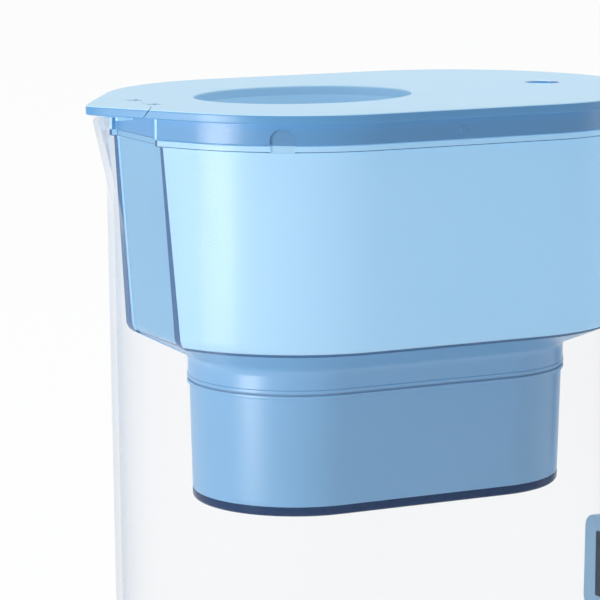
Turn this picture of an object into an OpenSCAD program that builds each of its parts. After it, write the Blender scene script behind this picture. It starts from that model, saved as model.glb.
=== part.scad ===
// Water filter pitcher with a flip lid.
//
// A clear oval jug with a pointed beak carries a lift-out hopper.  The hopper's neck
// holds the filter housing, and a cartridge lifts out of both from above.  The lid
// rests on the hopper and has a pour flap over the beak, a fill flap in an oval well
// and a press button over the filter indicator.
//
// Frame: millimetres, +Z up, origin on the table under the middle of the jug's plan.
// The spout points to -X and the handle to +X; the part mirrors about Y = 0.

/* [Overall] */
// Height from the table to the top of the lid
total_h = 262; // [240:1:290]
// Distance between the centres of the plan's two round ends
end_span = 69.5; // [58:0.5:82]
// Plan radius of the lid's round ends
lid_r = 70; // [66:0.5:76]
// How far the lid's tip stands out past its round end
tip_out = 12.6; // [10:0.2:16]
// Rounding of the tip, as an angle seen from the round end's centre
tip_soft = 1.5; // [0.5:0.1:4]

/* [Jug] */
// How far the lid stands out past the jug's rim
lid_over = 0.8; // [0.4:0.1:2]
// Wall of the jug above its ledge
rim_wall = 2; // [1.6:0.1:2.6]
// Wall of the jug below its ledge
jug_wall = 2.4; // [2:0.1:3.2]
// Draft of the jug's side, in degrees
jug_draft = 0.74; // [0.3:0.02:1.2]
// Width of the ledge that carries the hopper
ledge_w = 1.8; // [1.4:0.1:2.4]
// Height over which the ledge runs out into the wall below it
ledge_run = 10; // [6:0.5:16]
// How far the beak stands out at the rim
beak_out = 11.3; // [9:0.1:14]
// Height over which the beak runs out into the body
beak_drop = 48; // [36:1:70]
// Thickness of the jug's floor
floor_t = 2.8; // [2:0.1:4]
// Radius of the jug's bottom edge
foot_round = 6; // [4:0.5:9]
// Width of the two locating keys under the rim
key_w = 7.8; // [6:0.2:11]
// Height of the locating keys above the ledge
key_h = 7.3; // [6:0.1:9]
// How far the keys stand in from the rim wall
key_in = 1.4; // [1:0.1:1.8]
// Angle of the keys from the spout, seen from the front end's centre
key_angle = 59.4; // [45:0.2:75]

/* [Handle] */
// Clear depth of the finger gap behind the jug
grip_gap = 28; // [24:1:36]
// Thickness of the handle, fore and aft
grip_t = 14; // [11:0.5:17]
// Width of the handle
grip_w = 23; // [18:0.5:28]
// Height of the handle's upper arm over the table
handle_top = 226; // [200:1:234]
// Height of the handle's lower arm over the table
handle_low = 70; // [60:1:100]
// How far the handle's lower end comes in towards the jug
handle_rake = 6; // [0:0.5:10]
// How far the handle's arms run into the jug's outline before they are cut to it
arm_in = 4; // [3:0.2:6]
// Drop of the lower arm towards the jug
arm_drop = 8; // [4:0.5:12]
// Rise of the upper arm towards the jug
arm_rise = 2; // [0:0.2:4]
// Radius of the handle's upper bend
bend_top = 18; // [15:0.5:22]
// Radius of the handle's lower bend
bend_low = 24; // [18:0.5:28]
// Height of the lugs that hold the handle
lug_h = 26; // [20:1:30]
// Width of those lugs
lug_w = 11; // [8:0.5:14]
// How far the lugs stand out of the jug
lug_out = 4.2; // [3:0.2:5]
// Length of the soft inlay in the handle
inlay_l = 74; // [50:1:84]
// Width of the soft inlay
inlay_w = 12; // [8:0.5:15]
// Depth of the soft inlay's seat
inlay_d = 1.8; // [1:0.1:2.4]
// How far the soft inlay stands proud
inlay_up = 0.7; // [0.3:0.1:1.2]

/* [Hopper] */
// Thickness of the hopper's rim flange
flange_t = 2.3; // [1.8:0.1:3]
// Gap between the flange and the jug's rim wall
flange_gap = 0.7; // [0.5:0.1:1.2]
// How far the flange stands out past the hopper's wall
flange_out = 1.9; // [1.6:0.1:2.6]
// Wall of the hopper
hop_wall = 2; // [1.6:0.1:2.6]
// Depth of the hopper's upright wall below its flange
hop_depth = 68.4; // [55:0.5:80]
// How much narrower the hopper's wall is at its foot
hop_taper = 2.4; // [1:0.1:4]
// Height of the sloping shoulder
shoulder_h = 7.5; // [6:0.1:10]
// Rounding of the edge between wall and shoulder
shoulder_round = 5.5; // [4:0.5:7]
// How far the front edges of the wall's side ribs lie in from its radius
front_in = 1.6; // [1:0.1:3]
// Depth of the pour channel's face behind those edges
front_recess = 0.8; // [0.5:0.1:2]
// How far the ribs of the flange and the skirt stand out past those of the wall
rib_out = 1.8; // [1:0.1:2.2]
// Room between the channel's faces on the skirt and on the wall
face_step = 0.9; // [0.5:0.1:1.2]
// Half width of the pour channel
front_half = 18.5; // [14:0.5:20]
// How much wider the channel is at the flange, on each side
flange_ease = 0.3; // [0.1:0.1:0.6]
// How far the front leans back down the wall
front_lean = 5.4; // [3:0.2:8]
// Radius of the neck's round ends
neck_r = 39.6; // [37:0.1:42]
// Height of the neck, with its flange
neck_h = 8.8; // [7:0.2:11]
// Thickness of the two flanges at the housing joint
joint_t = 1.4; // [1:0.1:2]
// How far those flanges stand out past the neck
joint_out = 0.3; // [0.2:0.1:1]

/* [Filter housing] */
// Thickness of the seal in the housing joint
seal_t = 0.6; // [0.4:0.1:1]
// How much smaller the housing's radius is than the neck's
house_step = 0.6; // [0.4:0.1:1.6]
// Height of the housing's wall
house_h = 41.2; // [34:0.2:48]
// Wall of the housing
house_wall = 2.2; // [1.8:0.1:2.6]
// How much narrower the housing is at its foot
house_taper = 1.2; // [0.8:0.1:2.4]
// Thickness of the dark base
base_t = 3.6; // [3:0.1:5]
// Rounding of the base's lower edge
base_round = 1.6; // [1:0.1:2.4]
// Height of the spigot that holds the base in the housing
spigot_h = 2.2; // [1.5:0.1:3]
// Outer radius of the water outlets
outlet_r = 4; // [3.4:0.1:5]
// Bore radius of the water outlets
outlet_bore = 1.9; // [1.4:0.1:2]
// How far the outlets stand out below the base
outlet_drop = 1.6; // [1:0.1:2.5]
// Distance of the outlets from the middle, across the pitcher
outlet_y = 26; // [16:0.5:28]

/* [Cartridge] */
// Gap between the cartridge's rim and the neck
rim_gap = 0.4; // [0.3:0.05:0.6]
// Gap between the seal ring and the neck
seal_gap = 0.1; // [0.05:0.01:0.2]
// Height of the cartridge's rim
rim_h = 3; // [2.6:0.1:4]
// Height of the groove for the seal ring
groove_h = 1.2; // [0.8:0.1:1.4]
// Depth of the groove for the seal ring
groove_d = 1.1; // [0.8:0.1:1.3]
// Height of the raised deck with the water inlets
deck_h = 4.6; // [3.6:0.2:6]
// How far the deck stands in from the rim
deck_in = 3.4; // [2.8:0.1:5]
// Thickness of the deck
deck_t = 1.8; // [1.4:0.1:2.4]
// Width of one inlet slot
slot_w = 2.2; // [1.6:0.1:2.6]
// Number of inlet slots on each side of the grip
slots = 5; // [3:1:6]
// Pitch of the inlet slots
slot_pitch = 6.4; // [5.6:0.2:6.8]
// Height of the pull grip over the deck
pull_h = 16; // [12:0.5:18]
// Width of the pull grip at its foot
pull_w = 12; // [10:0.5:14]
// Thickness of the pull grip
pull_t = 9; // [7:0.5:12]
// Distance of the pull grip from the middle, along the pitcher
pull_x = 8.2; // [0:0.2:10]
// Gap between the cartridge's shell and the housing
shell_gap = 0.8; // [0.5:0.1:1.2]
// Wall of the cartridge's shell
shell_wall = 1.5; // [1.2:0.1:2]
// Gap under the cartridge
shell_lift = 1.2; // [0.6:0.1:2]
// Thickness of the screen under the filter media
screen_t = 0.6; // [0.4:0.1:1]

/* [Lid] */
// Thickness of the lid's plate
lid_t = 3.4; // [3:0.1:4.4]
// Rounding of the plate's upper edge
lid_edge = 0.8; // [0.4:0.1:1.2]
// Depth of the skirt below the plate
skirt_h = 7.8; // [6.5:0.1:10]
// Wall of the skirt
skirt_t = 2.2; // [1.8:0.1:3]
// Gap between the skirt and the jug's rim wall
skirt_gap = 0.9; // [0.7:0.1:1.4]
// Gap between surfaces that rest on each other
seat_gap = 0.1; // [0.05:0.01:0.2]
// Gap between the plate and the jug's rim
cover_gap = 0.3; // [0.3:0.05:0.5]
// Radius of the snap dimple on the skirt
dimple_r = 1.7; // [1:0.1:2.2]

/* [Fill well and flap] */
// Half length of the oval opening
well_a = 41.9; // [36:0.1:44]
// Half width of the oval opening
well_b = 31.9; // [26:0.1:34]
// Distance of the opening's middle behind the front end's centre
well_x = 3.5; // [0:0.1:6]
// Depth of the well from the lid's top to the flap
well_d = 9.4; // [8:0.1:10.5]
// Wall of the well
well_wall = 1.6; // [1.2:0.1:2]
// Flare of the opening's upper edge
well_flare = 0.9; // [0.4:0.1:1.4]
// Thickness of the fill flap
flap_t = 1.8; // [1.4:0.1:2.4]
// Gap between the fill flap and the well
flap_gap = 0.3; // [0.3:0.05:0.5]
// Radius of the fill flap's hinge barrel
barrel_r = 2.3; // [2:0.1:2.8]
// Radius of the fill flap's pin
fill_pin_r = 1; // [0.8:0.05:1.2]
// Running clearance round both hinge pins
pin_fit = 0.06; // [0.03:0.01:0.1]
// Length of the fill flap's barrel
barrel_l = 18; // [12:0.5:24]
// Thickness of the lugs beside the barrel
ear_t = 3; // [2.4:0.1:4]
// Sideways gap between hinge barrels and lugs
side_gap = 0.3; // [0.2:0.05:0.5]
// Number of stiffening ribs under the fill flap
flap_ribs = 3; // [1:1:5]
// Height of those ribs
flap_rib_h = 1.6; // [1:0.1:2.4]

/* [Spout flap] */
// Distance of the flap's seam behind the lid's tip, on the middle line
seam_x = 21.3; // [19:0.1:24]
// Radius of the curved seam
seam_r = 40.7; // [34:0.1:60]
// Width of the seam
seam_gap = 0.45; // [0.35:0.05:0.7]
// How far the seam leans forward through the plate
seam_lean = 2.6; // [2.4:0.1:3.2]
// Distance of the hinge axis behind the seam
hinge_back = 3.2; // [3.1:0.1:4]
// Radius of the flap's knuckles
knuckle_r = 2.2; // [2.1:0.1:2.4]
// Radius of the flap's pin
spout_pin_r = 0.8; // [0.7:0.05:0.9]
// Length of one flap knuckle
knuckle_l = 4; // [3:0.2:5]
// Distance of the knuckles from the middle line
knuckle_y = 8.2; // [7:0.1:9]
// Length of the lid's outer knuckles
outer_l = 3.4; // [2.6:0.1:4]
// Height of the locating ribs under the flap
spout_rib = 1.1; // [0.8:0.1:1.6]

/* [Indicator] */
// Distance of the indicator's middle in from the lid's rear end
ind_in = 34.2; // [28:0.1:38]
// Radius of the press button
button_r = 6.1; // [5:0.1:7]
// Radial gap round the button
button_gap = 0.2; // [0.15:0.05:0.3]
// Width of the ring round the button
bezel_w = 0.8; // [0.6:0.1:1.2]
// Depth of the ring's seat
bezel_d = 1.6; // [1:0.1:2]
// How far the ring stands proud of the lid
bezel_up = 0.15; // [0.1:0.05:0.4]
// How far the button lies below the lid's top
button_low = 0.35; // [0.2:0.05:0.8]
// Travel of the button
button_travel = 0.8; // [0.5:0.1:1]
// Radius of the indicator's case
case_r = 9.6; // [9.4:0.1:11]
// Height of the indicator's case
case_h = 7.2; // [7:0.1:8]
// Wall of the indicator's case
case_wall = 1.1; // [0.8:0.1:1.2]
// Thickness of the circuit board
board_t = 1; // [0.8:0.1:1.2]
// Radius of the button cell
cell_r = 5.6; // [4.8:0.1:6]
// Height of the button cell
cell_h = 1.8; // [1.4:0.1:2]

/* [Hidden] */
$fn = 64;
eps = 0.02;

// Steps round the front end and round the rear end of every plan outline
n_front = 42;
n_rear = 26;
// Steps round the oval of the fill well
n_oval = 60;
cx = end_span / 2;

// Heights of the stack, from the lid's top downwards
z_lid = total_h;
z_plate = z_lid - lid_t;
z_rim = z_plate - cover_gap;
z_flange = z_plate - skirt_h - seat_gap;
z_ledge = z_flange - flange_t - seat_gap;
z_wall = z_flange - flange_t;
z_shoulder = z_wall - hop_depth;
z_neck = z_shoulder - shoulder_round - shoulder_h;
z_joint = z_neck - neck_h;
z_house = z_joint - seal_t;
z_base = z_house - house_h;
z_deck = z_house + seat_gap + rim_h + deck_h;

// Radii of the stack
jug_r = lid_r - lid_over;
bore_r = jug_r - rim_wall;
skirt_r = bore_r - skirt_gap;
flange_r = bore_r - flange_gap;
hop_r = flange_r - flange_out;
hop_low = hop_r - hop_taper;
front_reach = hop_r - front_in;
neck_in = neck_r - hop_wall;
house_r = neck_r - house_step;
house_low = house_r - house_taper;

function out_r(z) = jug_r - (z_rim - z) * tan(jug_draft);
function beak(z) = max(0, beak_out * (1 - (z_rim - z) / beak_drop));

// Radius, at an angle off the spout, of a circle drawn out to a tip at distance d
function nose(r, d, a) =
  r / cos(max(0, acos(min(1, r / d)) + tip_soft * (d > r ? 1 : 0)
    - sqrt(a * a + tip_soft * tip_soft)));

// Oval plan outline with its front end drawn out to distance d
function plan(r, d) = concat(
  [for (i = [0:n_front]) let (a = 90 + 180 * i / n_front, q = nose(r, d, abs(a - 180)))
    [q * cos(a) - cx, q * sin(a)]],
  [for (i = [0:n_rear]) let (a = -90 + 180 * i / n_rear)
    [r * cos(a) + cx, r * sin(a)]]);

// Half width, at distance e from the front centre, of a plan drawn out to distance d
function half_at(r, d, e) =
  let (w = acos(min(1, r / d)) + (d > r ? tip_soft : 0))
  e <= r * cos(w) ? sqrt(r * r - e * e) : (r - e * cos(w)) / sin(w);

// Plan outline drawn out to distance d, with a flat front at distance e that has a channel
// of half width h in it, at distance f
function cut_plan(r, d, e, f, h) =
  let (s = min(e, 0.9985 * d), g = min(f, s - eps), w = half_at(r, d, s), c = atan2(w, s),
    y = min(h, 0.95 * w), n = n_front / 2 - 1)
  concat(
    [for (i = [0:n]) let (a = 90 + (90 - c) * i / n, q = nose(r, d, 180 - a))
      [q * cos(a) - cx, q * sin(a)]],
    [[-cx - s, y], [-cx - g, y], [-cx - g, -y], [-cx - s, -y]],
    [for (i = [0:n]) let (a = 180 + c + (90 - c) * i / n, q = nose(r, d, a - 180))
      [q * cos(a) - cx, q * sin(a)]],
    [for (i = [0:n_rear]) let (a = -90 + 180 * i / n_rear)
      [r * cos(a) + cx, r * sin(a)]]);

function oval(a, b) = [for (i = [0:n_oval - 1])
  [a * cos(360 * i / n_oval), b * sin(360 * i / n_oval)]];
function at(points, z) = [for (p = points) [p[0], p[1], z]];

// Solid through a list of equal rings, closed by a flat face at each end
module loft(rings) {
  n = len(rings[0]);
  m = len(rings);
  polyhedron(
    points = [for (r = rings) for (p = r) p],
    faces = concat(
      [[for (i = [0:n - 1]) i]],
      [[for (i = [0:n - 1]) (m - 1) * n + n - 1 - i]],
      [for (k = [0:m - 2]) for (i = [0:n - 1]) let (j = (i + 1) % n)
        each [[k * n + i, (k + 1) * n + i, (k + 1) * n + j],
          [k * n + i, (k + 1) * n + j, k * n + j]]]));
}

// Tube through a list of equal rings, the last of which joins the first
module tube(rings) {
  n = len(rings[0]);
  m = len(rings);
  polyhedron(
    points = [for (r = rings) for (p = r) p],
    faces = [for (k = [0:m - 1]) for (i = [0:n - 1])
      let (j = (i + 1) % n, l = (k + 1) % m)
      each [[k * n + i, l * n + i, l * n + j], [k * n + i, l * n + j, k * n + j]]]);
}

// Flat oval slab and flat oval ring
module slab(r, z0, z1) {
  translate([0, 0, z0]) linear_extrude(z1 - z0) polygon(plan(r, r));
}
module ring(r_out, r_in, z0, z1) {
  translate([0, 0, z0]) linear_extrude(z1 - z0) difference() {
    polygon(plan(r_out, r_out));
    polygon(plan(r_in, r_in));
  }
}
module bar_y(r, l) {
  rotate([90, 0, 0]) cylinder(r = r, h = l, center = true);
}

// ---------------------------------------------------------------- jug

// Outline of the jug's outside, or of its inside when w is the wall
function jug_ring(z, w = 0) =
  let (r = out_r(z), d = r + beak(z), q = r - w) at(plan(q, q * d / r), z);

// Inner edge of the ledge, which runs out towards the beak's tip
function ledge_ring() =
  let (r = out_r(z_ledge), d = (r + beak(z_ledge)) * (r - rim_wall) / r - 0.1,
    q = r - rim_wall - ledge_w) at(plan(q, max(q, d)), z_ledge);

// Arch-topped key, or the slot for it when g is the gap round it
module key(g = 0) {
  for (s = [-1, 1]) translate([-cx, 0, z_ledge]) rotate([0, 0, 180 + s * key_angle])
    translate([bore_r - key_in - g, 0, 0]) rotate([90, 0, 90]) {
      w = key_w / 2 + g;
      translate([0, 0, 0]) linear_extrude(key_in + 2 * g + rim_wall / 2) union() {
        translate([-w, -3 * g]) square([2 * w, key_h - w / 2 + 4 * g]);
        translate([0, key_h - w / 2 + g]) intersection() {
          translate([0, -w / 2]) circle(r = w * sqrt(1.25), $fn = 48);
          translate([-w, 0]) square([2 * w, w]);
        }
      }
    }
}

// Lug that holds one end of the handle, or its socket when g is the gap
module lug(z, g = 0) {
  translate([cx + out_r(z) - 1.5, -lug_w / 2 - g, z - lug_h / 2 - g])
    cube([lug_out + 1.5 + g, lug_w + 2 * g, lug_h + 2 * g]);
}

module jug() {
  corner = [for (a = [0:30:90])
    [foot_round * (1 - sin(a)), foot_round * (1 - cos(a))]];
  inside = [for (a = [90:-30:0]) let (q = foot_round - jug_wall)
    [jug_wall + q * (1 - sin(a)), floor_t + q * (1 - cos(a))]];
  color([0.86, 0.93, 0.98, 0.5]) union() {
    loft(concat(
      [for (c = corner) jug_ring(c[1], c[0])],
      [for (i = [0:4]) jug_ring(z_rim - beak_drop * (1 - i / 4))],
      [jug_ring(z_rim, rim_wall), jug_ring(z_ledge, rim_wall)],
      [ledge_ring()],
      [jug_ring(z_ledge - ledge_run, jug_wall)],
      [jug_ring((z_ledge - ledge_run + z_rim - beak_drop) / 2, jug_wall)],
      [jug_ring(z_rim - beak_drop, jug_wall)],
      [for (c = inside) jug_ring(c[1], c[0])]));
    key();
    for (z = [handle_top, handle_low]) lug(z);
  }
}

// ---------------------------------------------------------------- handle

// Points of an arc that rounds the corner b between a and c
function bend(a, b, c, r, n) =
  let (u = (a - b) / norm(a - b), v = (c - b) / norm(c - b),
    h = acos(u * v) / 2, t = r / tan(h), m = (u + v) / norm(u + v) * (r / sin(h)) + b,
    p = b + u * t - m, q = b + v * t - m,
    s = sign(p[0] * q[1] - p[1] * q[0]), w = 180 - 2 * h)
  [for (i = [0:n]) let (k = s * w * i / n)
    m + [p[0] * cos(k) - p[1] * sin(k), p[0] * sin(k) + p[1] * cos(k)]];

back_x = cx + out_r(handle_top) + grip_gap + grip_t / 2;
arm_a = [cx + out_r(handle_top) - arm_in, handle_top + arm_rise];
arm_b = [back_x, handle_top];
arm_c = [back_x - handle_rake, handle_low];
arm_d = [cx + out_r(handle_low) - arm_in, handle_low - arm_drop];
spine = concat([arm_a], bend(arm_a, arm_b, arm_c, bend_top, 7),
  bend(arm_b, arm_c, arm_d, bend_low, 7), [arm_d]);

// Rounded section of the handle, square to the spine at its point k
function grip_ring(k) =
  let (a = spine[max(0, k - 1)], b = spine[min(len(spine) - 1, k + 1)],
    d = (b - a) / norm(b - a), nx = [-d[1], d[0]], p = spine[k], m = 20)
  [for (i = [0:m - 1]) let (t = -360 * i / m, c = cos(t), s = sin(t),
    u = sign(c) * pow(abs(c), 0.7) * grip_t / 2, v = sign(s) * pow(abs(s), 0.7) * grip_w / 2)
    [p[0] + nx[0] * u, v, p[1] + nx[1] * u]];

// Pad between one arm and the jug
module pad(z) {
  h = lug_h + 12;
  w = lug_w + 14;
  translate([cx + out_r(z) - arm_in, 0, z]) rotate([90, 0, 90]) linear_extrude(lug_out + arm_in + 2)
    hull() for (y = [-1, 1]) for (v = [-1, 1])
      translate([y * (w / 2 - 5), v * (h / 2 - 5)]) circle(r = 5, $fn = 24);
}

module inlay(g) {
  d = (arm_c - arm_b) / norm(arm_c - arm_b);
  m = (arm_b + arm_c) / 2;
  tilt = atan2(-d[0], -d[1]);
  translate([m[0], 0, m[1]]) rotate([0, tilt, 0])
    translate([-grip_t / 2 - inlay_up * (1 - g), 0, 0]) rotate([90, 0, 90])
    linear_extrude(inlay_up * (1 - g) + inlay_d + g * 0.05) hull()
      for (v = [-1, 1]) translate([0, v * (inlay_l - inlay_w) / 2])
        circle(d = inlay_w + g * 0.1, $fn = 40);
}

module handle() {
  color("#a9d2ef") difference() {
    union() {
      loft([for (k = [0:len(spine) - 1]) grip_ring(k)]);
      pad(handle_top);
      pad(handle_low);
    }
    translate([cx, 0, 0])
      cylinder(r1 = out_r(0) + seat_gap, r2 = out_r(total_h) + seat_gap, h = total_h, $fn = 128);
    for (z = [handle_top, handle_low]) lug(z, seat_gap);
    translate([-eps, 0, 0]) inlay(1);
  }
}

module handle_grip() {
  color("#6f9fc6") inlay(0);
}

// ---------------------------------------------------------------- hopper

// How far the front has leant back at height z
function lean(z) = front_lean * min(1, (z_flange - z) / (z_flange - z_shoulder));

// Share by which the beak draws out the plan, at the flange and along the ledge's inner edge
beak_flange = 1 + beak(z_flange) / out_r(z_flange);
beak_ledge = ((out_r(z_ledge) + beak(z_ledge)) * (out_r(z_ledge) - rim_wall) / out_r(z_ledge)
  - seat_gap) / (out_r(z_ledge) - rim_wall - ledge_w);

// Outside and inside of the hopper's wall, drawn out by the share k and set in by w
function hop_ring(r, k, z, w = 0) =
  let (e = front_reach - lean(z) - w) at(cut_plan(r - w, (r - w) * k, e, e - front_recess,
    front_half), z);
function hop_in(r, k, z, w = 0) =
  let (e = front_reach - front_recess - hop_wall - lean(z) - w, q = r - hop_wall - w)
  at(cut_plan(q, q * k, e, e - eps, front_half - hop_wall), z);
function flange_ring(z) =
  at(cut_plan(flange_r, flange_r * beak_flange, front_reach + rib_out,
    front_reach - front_recess + 0.3, front_half + flange_ease), z);
function neck_ring(r, z) = at(cut_plan(r, r, r, r * 0.998, front_half), z);

module hopper() {
  slope = (hop_low - shoulder_round - neck_r) / shoulder_h;
  drop = hop_wall * (sqrt(1 + slope * slope) - 1) / slope;
  color([0.72, 0.87, 0.97, 0.7]) difference() {
    tube(concat(
      [neck_ring(neck_r + joint_out, z_joint),
        neck_ring(neck_r + joint_out, z_joint + joint_t),
        neck_ring(neck_r, z_joint + joint_t),
        neck_ring(neck_r, z_neck)],
      [for (a = [0:30:90])
        hop_ring(hop_low, 1, z_shoulder - shoulder_round * cos(a), shoulder_round * (1 - sin(a)))],
      [hop_ring(hop_r, beak_ledge, z_wall),
        flange_ring(z_wall),
        flange_ring(z_flange),
        hop_in(hop_r, beak_ledge, z_flange),
        hop_in(hop_low, 1, z_shoulder),
        hop_in(hop_low, 1, z_shoulder - shoulder_round + hop_wall,
          shoulder_round + drop - hop_wall),
        neck_ring(neck_in, z_neck + hop_wall - drop / 2),
        neck_ring(neck_in, z_joint)]));
    key(0.4);
  }
}

module filter_housing() {
  color("#9cc6e6") tube([
    at(plan(house_low, house_low), z_base),
    at(plan(house_r, house_r), z_house - joint_t),
    at(plan(neck_r + joint_out, neck_r + joint_out), z_house - joint_t),
    at(plan(neck_r + joint_out, neck_r + joint_out), z_house),
    at(plan(house_r - house_wall, house_r - house_wall), z_house),
    at(plan(house_low - house_wall, house_low - house_wall), z_base)]);
}

module housing_seal() {
  color("#e8f1f7") ring(neck_r + joint_out - 0.6, neck_in, z_house, z_joint);
}

module housing_base() {
  r = house_low + 0.2;
  s = house_low - house_wall - seat_gap;
  color("#12294a") difference() {
    union() {
      loft([
        at(plan(r - base_round, r - base_round), z_base - base_t),
        at(plan(r - base_round * 0.3, r - base_round * 0.3), z_base - base_t + base_round * 0.3),
        at(plan(r, r), z_base - base_t + base_round),
        at(plan(r, r), z_base)]);
      ring(s, s - 2, z_base - eps, z_base + spigot_h);
      for (x = [-1, 1]) for (y = [-1, 1])
        translate([x * cx, y * outlet_y, z_base - base_t - outlet_drop])
          cylinder(r = outlet_r, h = outlet_drop + 1);
    }
    for (x = [-1, 1]) for (y = [-1, 1])
      translate([x * cx, y * outlet_y, z_base - base_t - outlet_drop - 1])
        cylinder(r = outlet_bore, h = base_t + outlet_drop + 2);
  }
}

// ---------------------------------------------------------------- cartridge

cart_z = z_house + seat_gap;
cap_r = neck_in - rim_gap;
shell_top = house_r - house_wall - shell_gap;
shell_low = house_low - house_wall - shell_gap;
shell_z = z_base + spigot_h + shell_lift;

module cartridge_shell() {
  n = 4;
  color("#dfeef8") difference() {
    loft([
      at(plan(shell_low - 1.5, shell_low - 1.5), shell_z),
      at(plan(shell_low, shell_low), shell_z + 1.5),
      at(plan(shell_top, shell_top), cart_z),
      at(plan(shell_top - shell_wall, shell_top - shell_wall), cart_z),
      at(plan(shell_low - shell_wall, shell_low - shell_wall), shell_z + 1.5)]);
    for (i = [-n:n]) translate([i * 10, 0, shell_z - 1]) linear_extrude(4)
      square([3, 30], center = true);
  }
}

module cartridge_screen() {
  r = shell_low - shell_wall - 0.2;
  color("#c9ced2") slab(r, shell_z + 1.5, shell_z + 1.5 + screen_t);
}

module filter_media() {
  z0 = shell_z + 1.5 + screen_t;
  z1 = cart_z - 0.4;
  color("#5b6167") loft([
    at(plan(shell_low - shell_wall - 0.2, shell_low - shell_wall - 0.2), z0),
    at(plan(shell_top - shell_wall - 0.2, shell_top - shell_wall - 0.2), z1)]);
}

module cartridge_cap() {
  gz = cart_z + (rim_h - groove_h) / 2;
  foot = pull_w / 2;
  peak = 2.4;
  color("#f4f8fb") difference() {
    union() {
      slab(cap_r, cart_z, gz);
      slab(cap_r - groove_d, gz - eps, gz + groove_h + eps);
      slab(cap_r, gz + groove_h, cart_z + rim_h);
      loft([
        at(plan(cap_r - deck_in, cap_r - deck_in), cart_z + rim_h - eps),
        at(plan(cap_r - deck_in - 0.6, cap_r - deck_in - 0.6), z_deck - 0.8),
        at(plan(cap_r - deck_in - 1.6, cap_r - deck_in - 1.6), z_deck)]);
      translate([pull_x, pull_t / 2, z_deck - eps]) rotate([90, 0, 0])
        linear_extrude(pull_t) polygon(concat(
          [[-foot - 1, 0], [-foot, 1]],
          [for (a = [150:-20:30]) [peak * cos(a), pull_h - peak + peak * sin(a)]],
          [[foot, 1], [foot + 1, 0]]));
    }
    // Chamber under the deck, and the inlet slots that lead into it
    slab(cap_r - deck_in - 0.6 - deck_t, cart_z - 1, z_deck - deck_t);
    for (s = [-1, 1]) for (i = [0:slots - 1])
      translate([s * (pull_x + pull_w / 2 + 4 + i * slot_pitch), 0, z_deck - deck_t - 1])
        linear_extrude(deck_t + 2) square([slot_w, 36], center = true);
  }
}

module cartridge_gasket() {
  gz = cart_z + (rim_h - groove_h) / 2;
  color("#f2b9a0") ring(neck_in - seal_gap, cap_r - groove_d, gz, gz + groove_h);
}

// ---------------------------------------------------------------- lid

tip_x = -cx - lid_r - tip_out;
well_cx = -cx + well_x;
axis_x = tip_x + seam_x + hinge_back;
axis_z = z_lid - knuckle_r;
out_y = knuckle_y + knuckle_l / 2 + side_gap + outer_l / 2;
hinge_l = 2 * out_y + outer_l;
flap_z = z_lid - well_d - flap_gap;
fill_ax = well_cx + well_a + well_wall + barrel_r + 0.6;
fill_az = flap_z - barrel_r + 0.4;
ix = cx + lid_r - ind_in;
bezel_r = button_r + button_gap + bezel_w;

// The lid's whole plate, before the flap, the well and the indicator are cut
module plate() {
  e = lid_edge;
  function edge(q) = plan(lid_r - q, lid_r + tip_out - q);
  loft([
    at(edge(0.4), z_plate),
    at(edge(0), z_plate + 0.5),
    at(edge(0), z_lid - e),
    at(edge(e * 0.3), z_lid - e * 0.3),
    at(edge(e), z_lid)]);
}

// Everything in front of the leaning, curved seam, drawn back by g
module seam_front(g) {
  c = tip_x + seam_x - seam_r;
  n = 16;
  a = 56;
  function arc(k) = concat(
    [for (i = [0:n]) let (t = 2 * a * i / n - a)
      [c + (seam_r - g - k) * cos(t), (seam_r - g - k) * sin(t)]],
    [[c - 30, 60], [c - 30, -60]]);
  k = seam_lean / lid_t;
  loft([at(arc(seam_lean + 8 * k), z_plate - 8), at(arc(-2 * k), z_lid + 2)]);
}

module spout_slots(g) {
  reach = hinge_back + seam_lean + 1.5;
  for (s = [-1, 1]) translate([axis_x, s * knuckle_y, 0]) {
    w = knuckle_l + 2 * g;
    translate([-reach, -w / 2, z_plate - 1]) cube([reach, w, lid_t + 2]);
    translate([0, 0, axis_z]) bar_y(knuckle_r + 2 * g, w);
  }
}

module lid_cover() {
  mid = 2 * (knuckle_y - knuckle_l / 2 - side_gap);
  color("#cde8fb") difference() {
    union() {
      difference() {
        plate();
        seam_front(0);
      }
      translate([axis_x, 0, axis_z]) bar_y(knuckle_r, mid);
      for (s = [-1, 1]) translate([axis_x, s * out_y, axis_z]) bar_y(knuckle_r, outer_l);
    }
    spout_slots(side_gap);
    translate([axis_x, 0, axis_z])
      bar_y(spout_pin_r + pin_fit, hinge_l + 1);
    translate([well_cx, 0, 0]) loft([
      at(oval(well_a - 0.3, well_b - 0.3), z_plate - 1),
      at(oval(well_a - 0.3, well_b - 0.3), z_plate + lid_t * 0.4),
      at(oval(well_a, well_b), z_lid - 0.3),
      at(oval(well_a + well_flare, well_b + well_flare), z_lid + 0.6)]);
    translate([ix, 0, z_plate - 1]) cylinder(r = button_r + button_gap + 0.05, h = lid_t + 2);
    translate([ix, 0, z_lid - bezel_d]) cylinder(r = bezel_r + 0.05, h = bezel_d + 1);
  }
}

module lid_frame() {
  e = front_reach + rib_out;
  f = front_reach - front_recess + face_step;
  z0 = z_plate - skirt_h;
  inner = skirt_r - skirt_t;
  color("#8fbfe2") difference() {
    union() {
      translate([0, 0, z0]) linear_extrude(skirt_h) difference() {
        polygon(cut_plan(skirt_r, skirt_r * beak_flange, e, f, front_half));
        polygon(cut_plan(inner, inner * beak_flange, f - skirt_t, f - skirt_t - eps,
          front_half));
      }
      // Snap dimple on each long side
      for (s = [-1, 1]) translate([-cx + 33, s * (skirt_r - 0.6), z_plate - 4.6])
        rotate([-90 * s, 0, 0]) cylinder(r1 = dimple_r, r2 = dimple_r - 0.5, h = 1);
    }
    key(0.5);
    // Room for the spout flap's hinge
    translate([axis_x, 0, axis_z]) bar_y(knuckle_r + side_gap, hinge_l + 2 * side_gap);
  }
}

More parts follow.
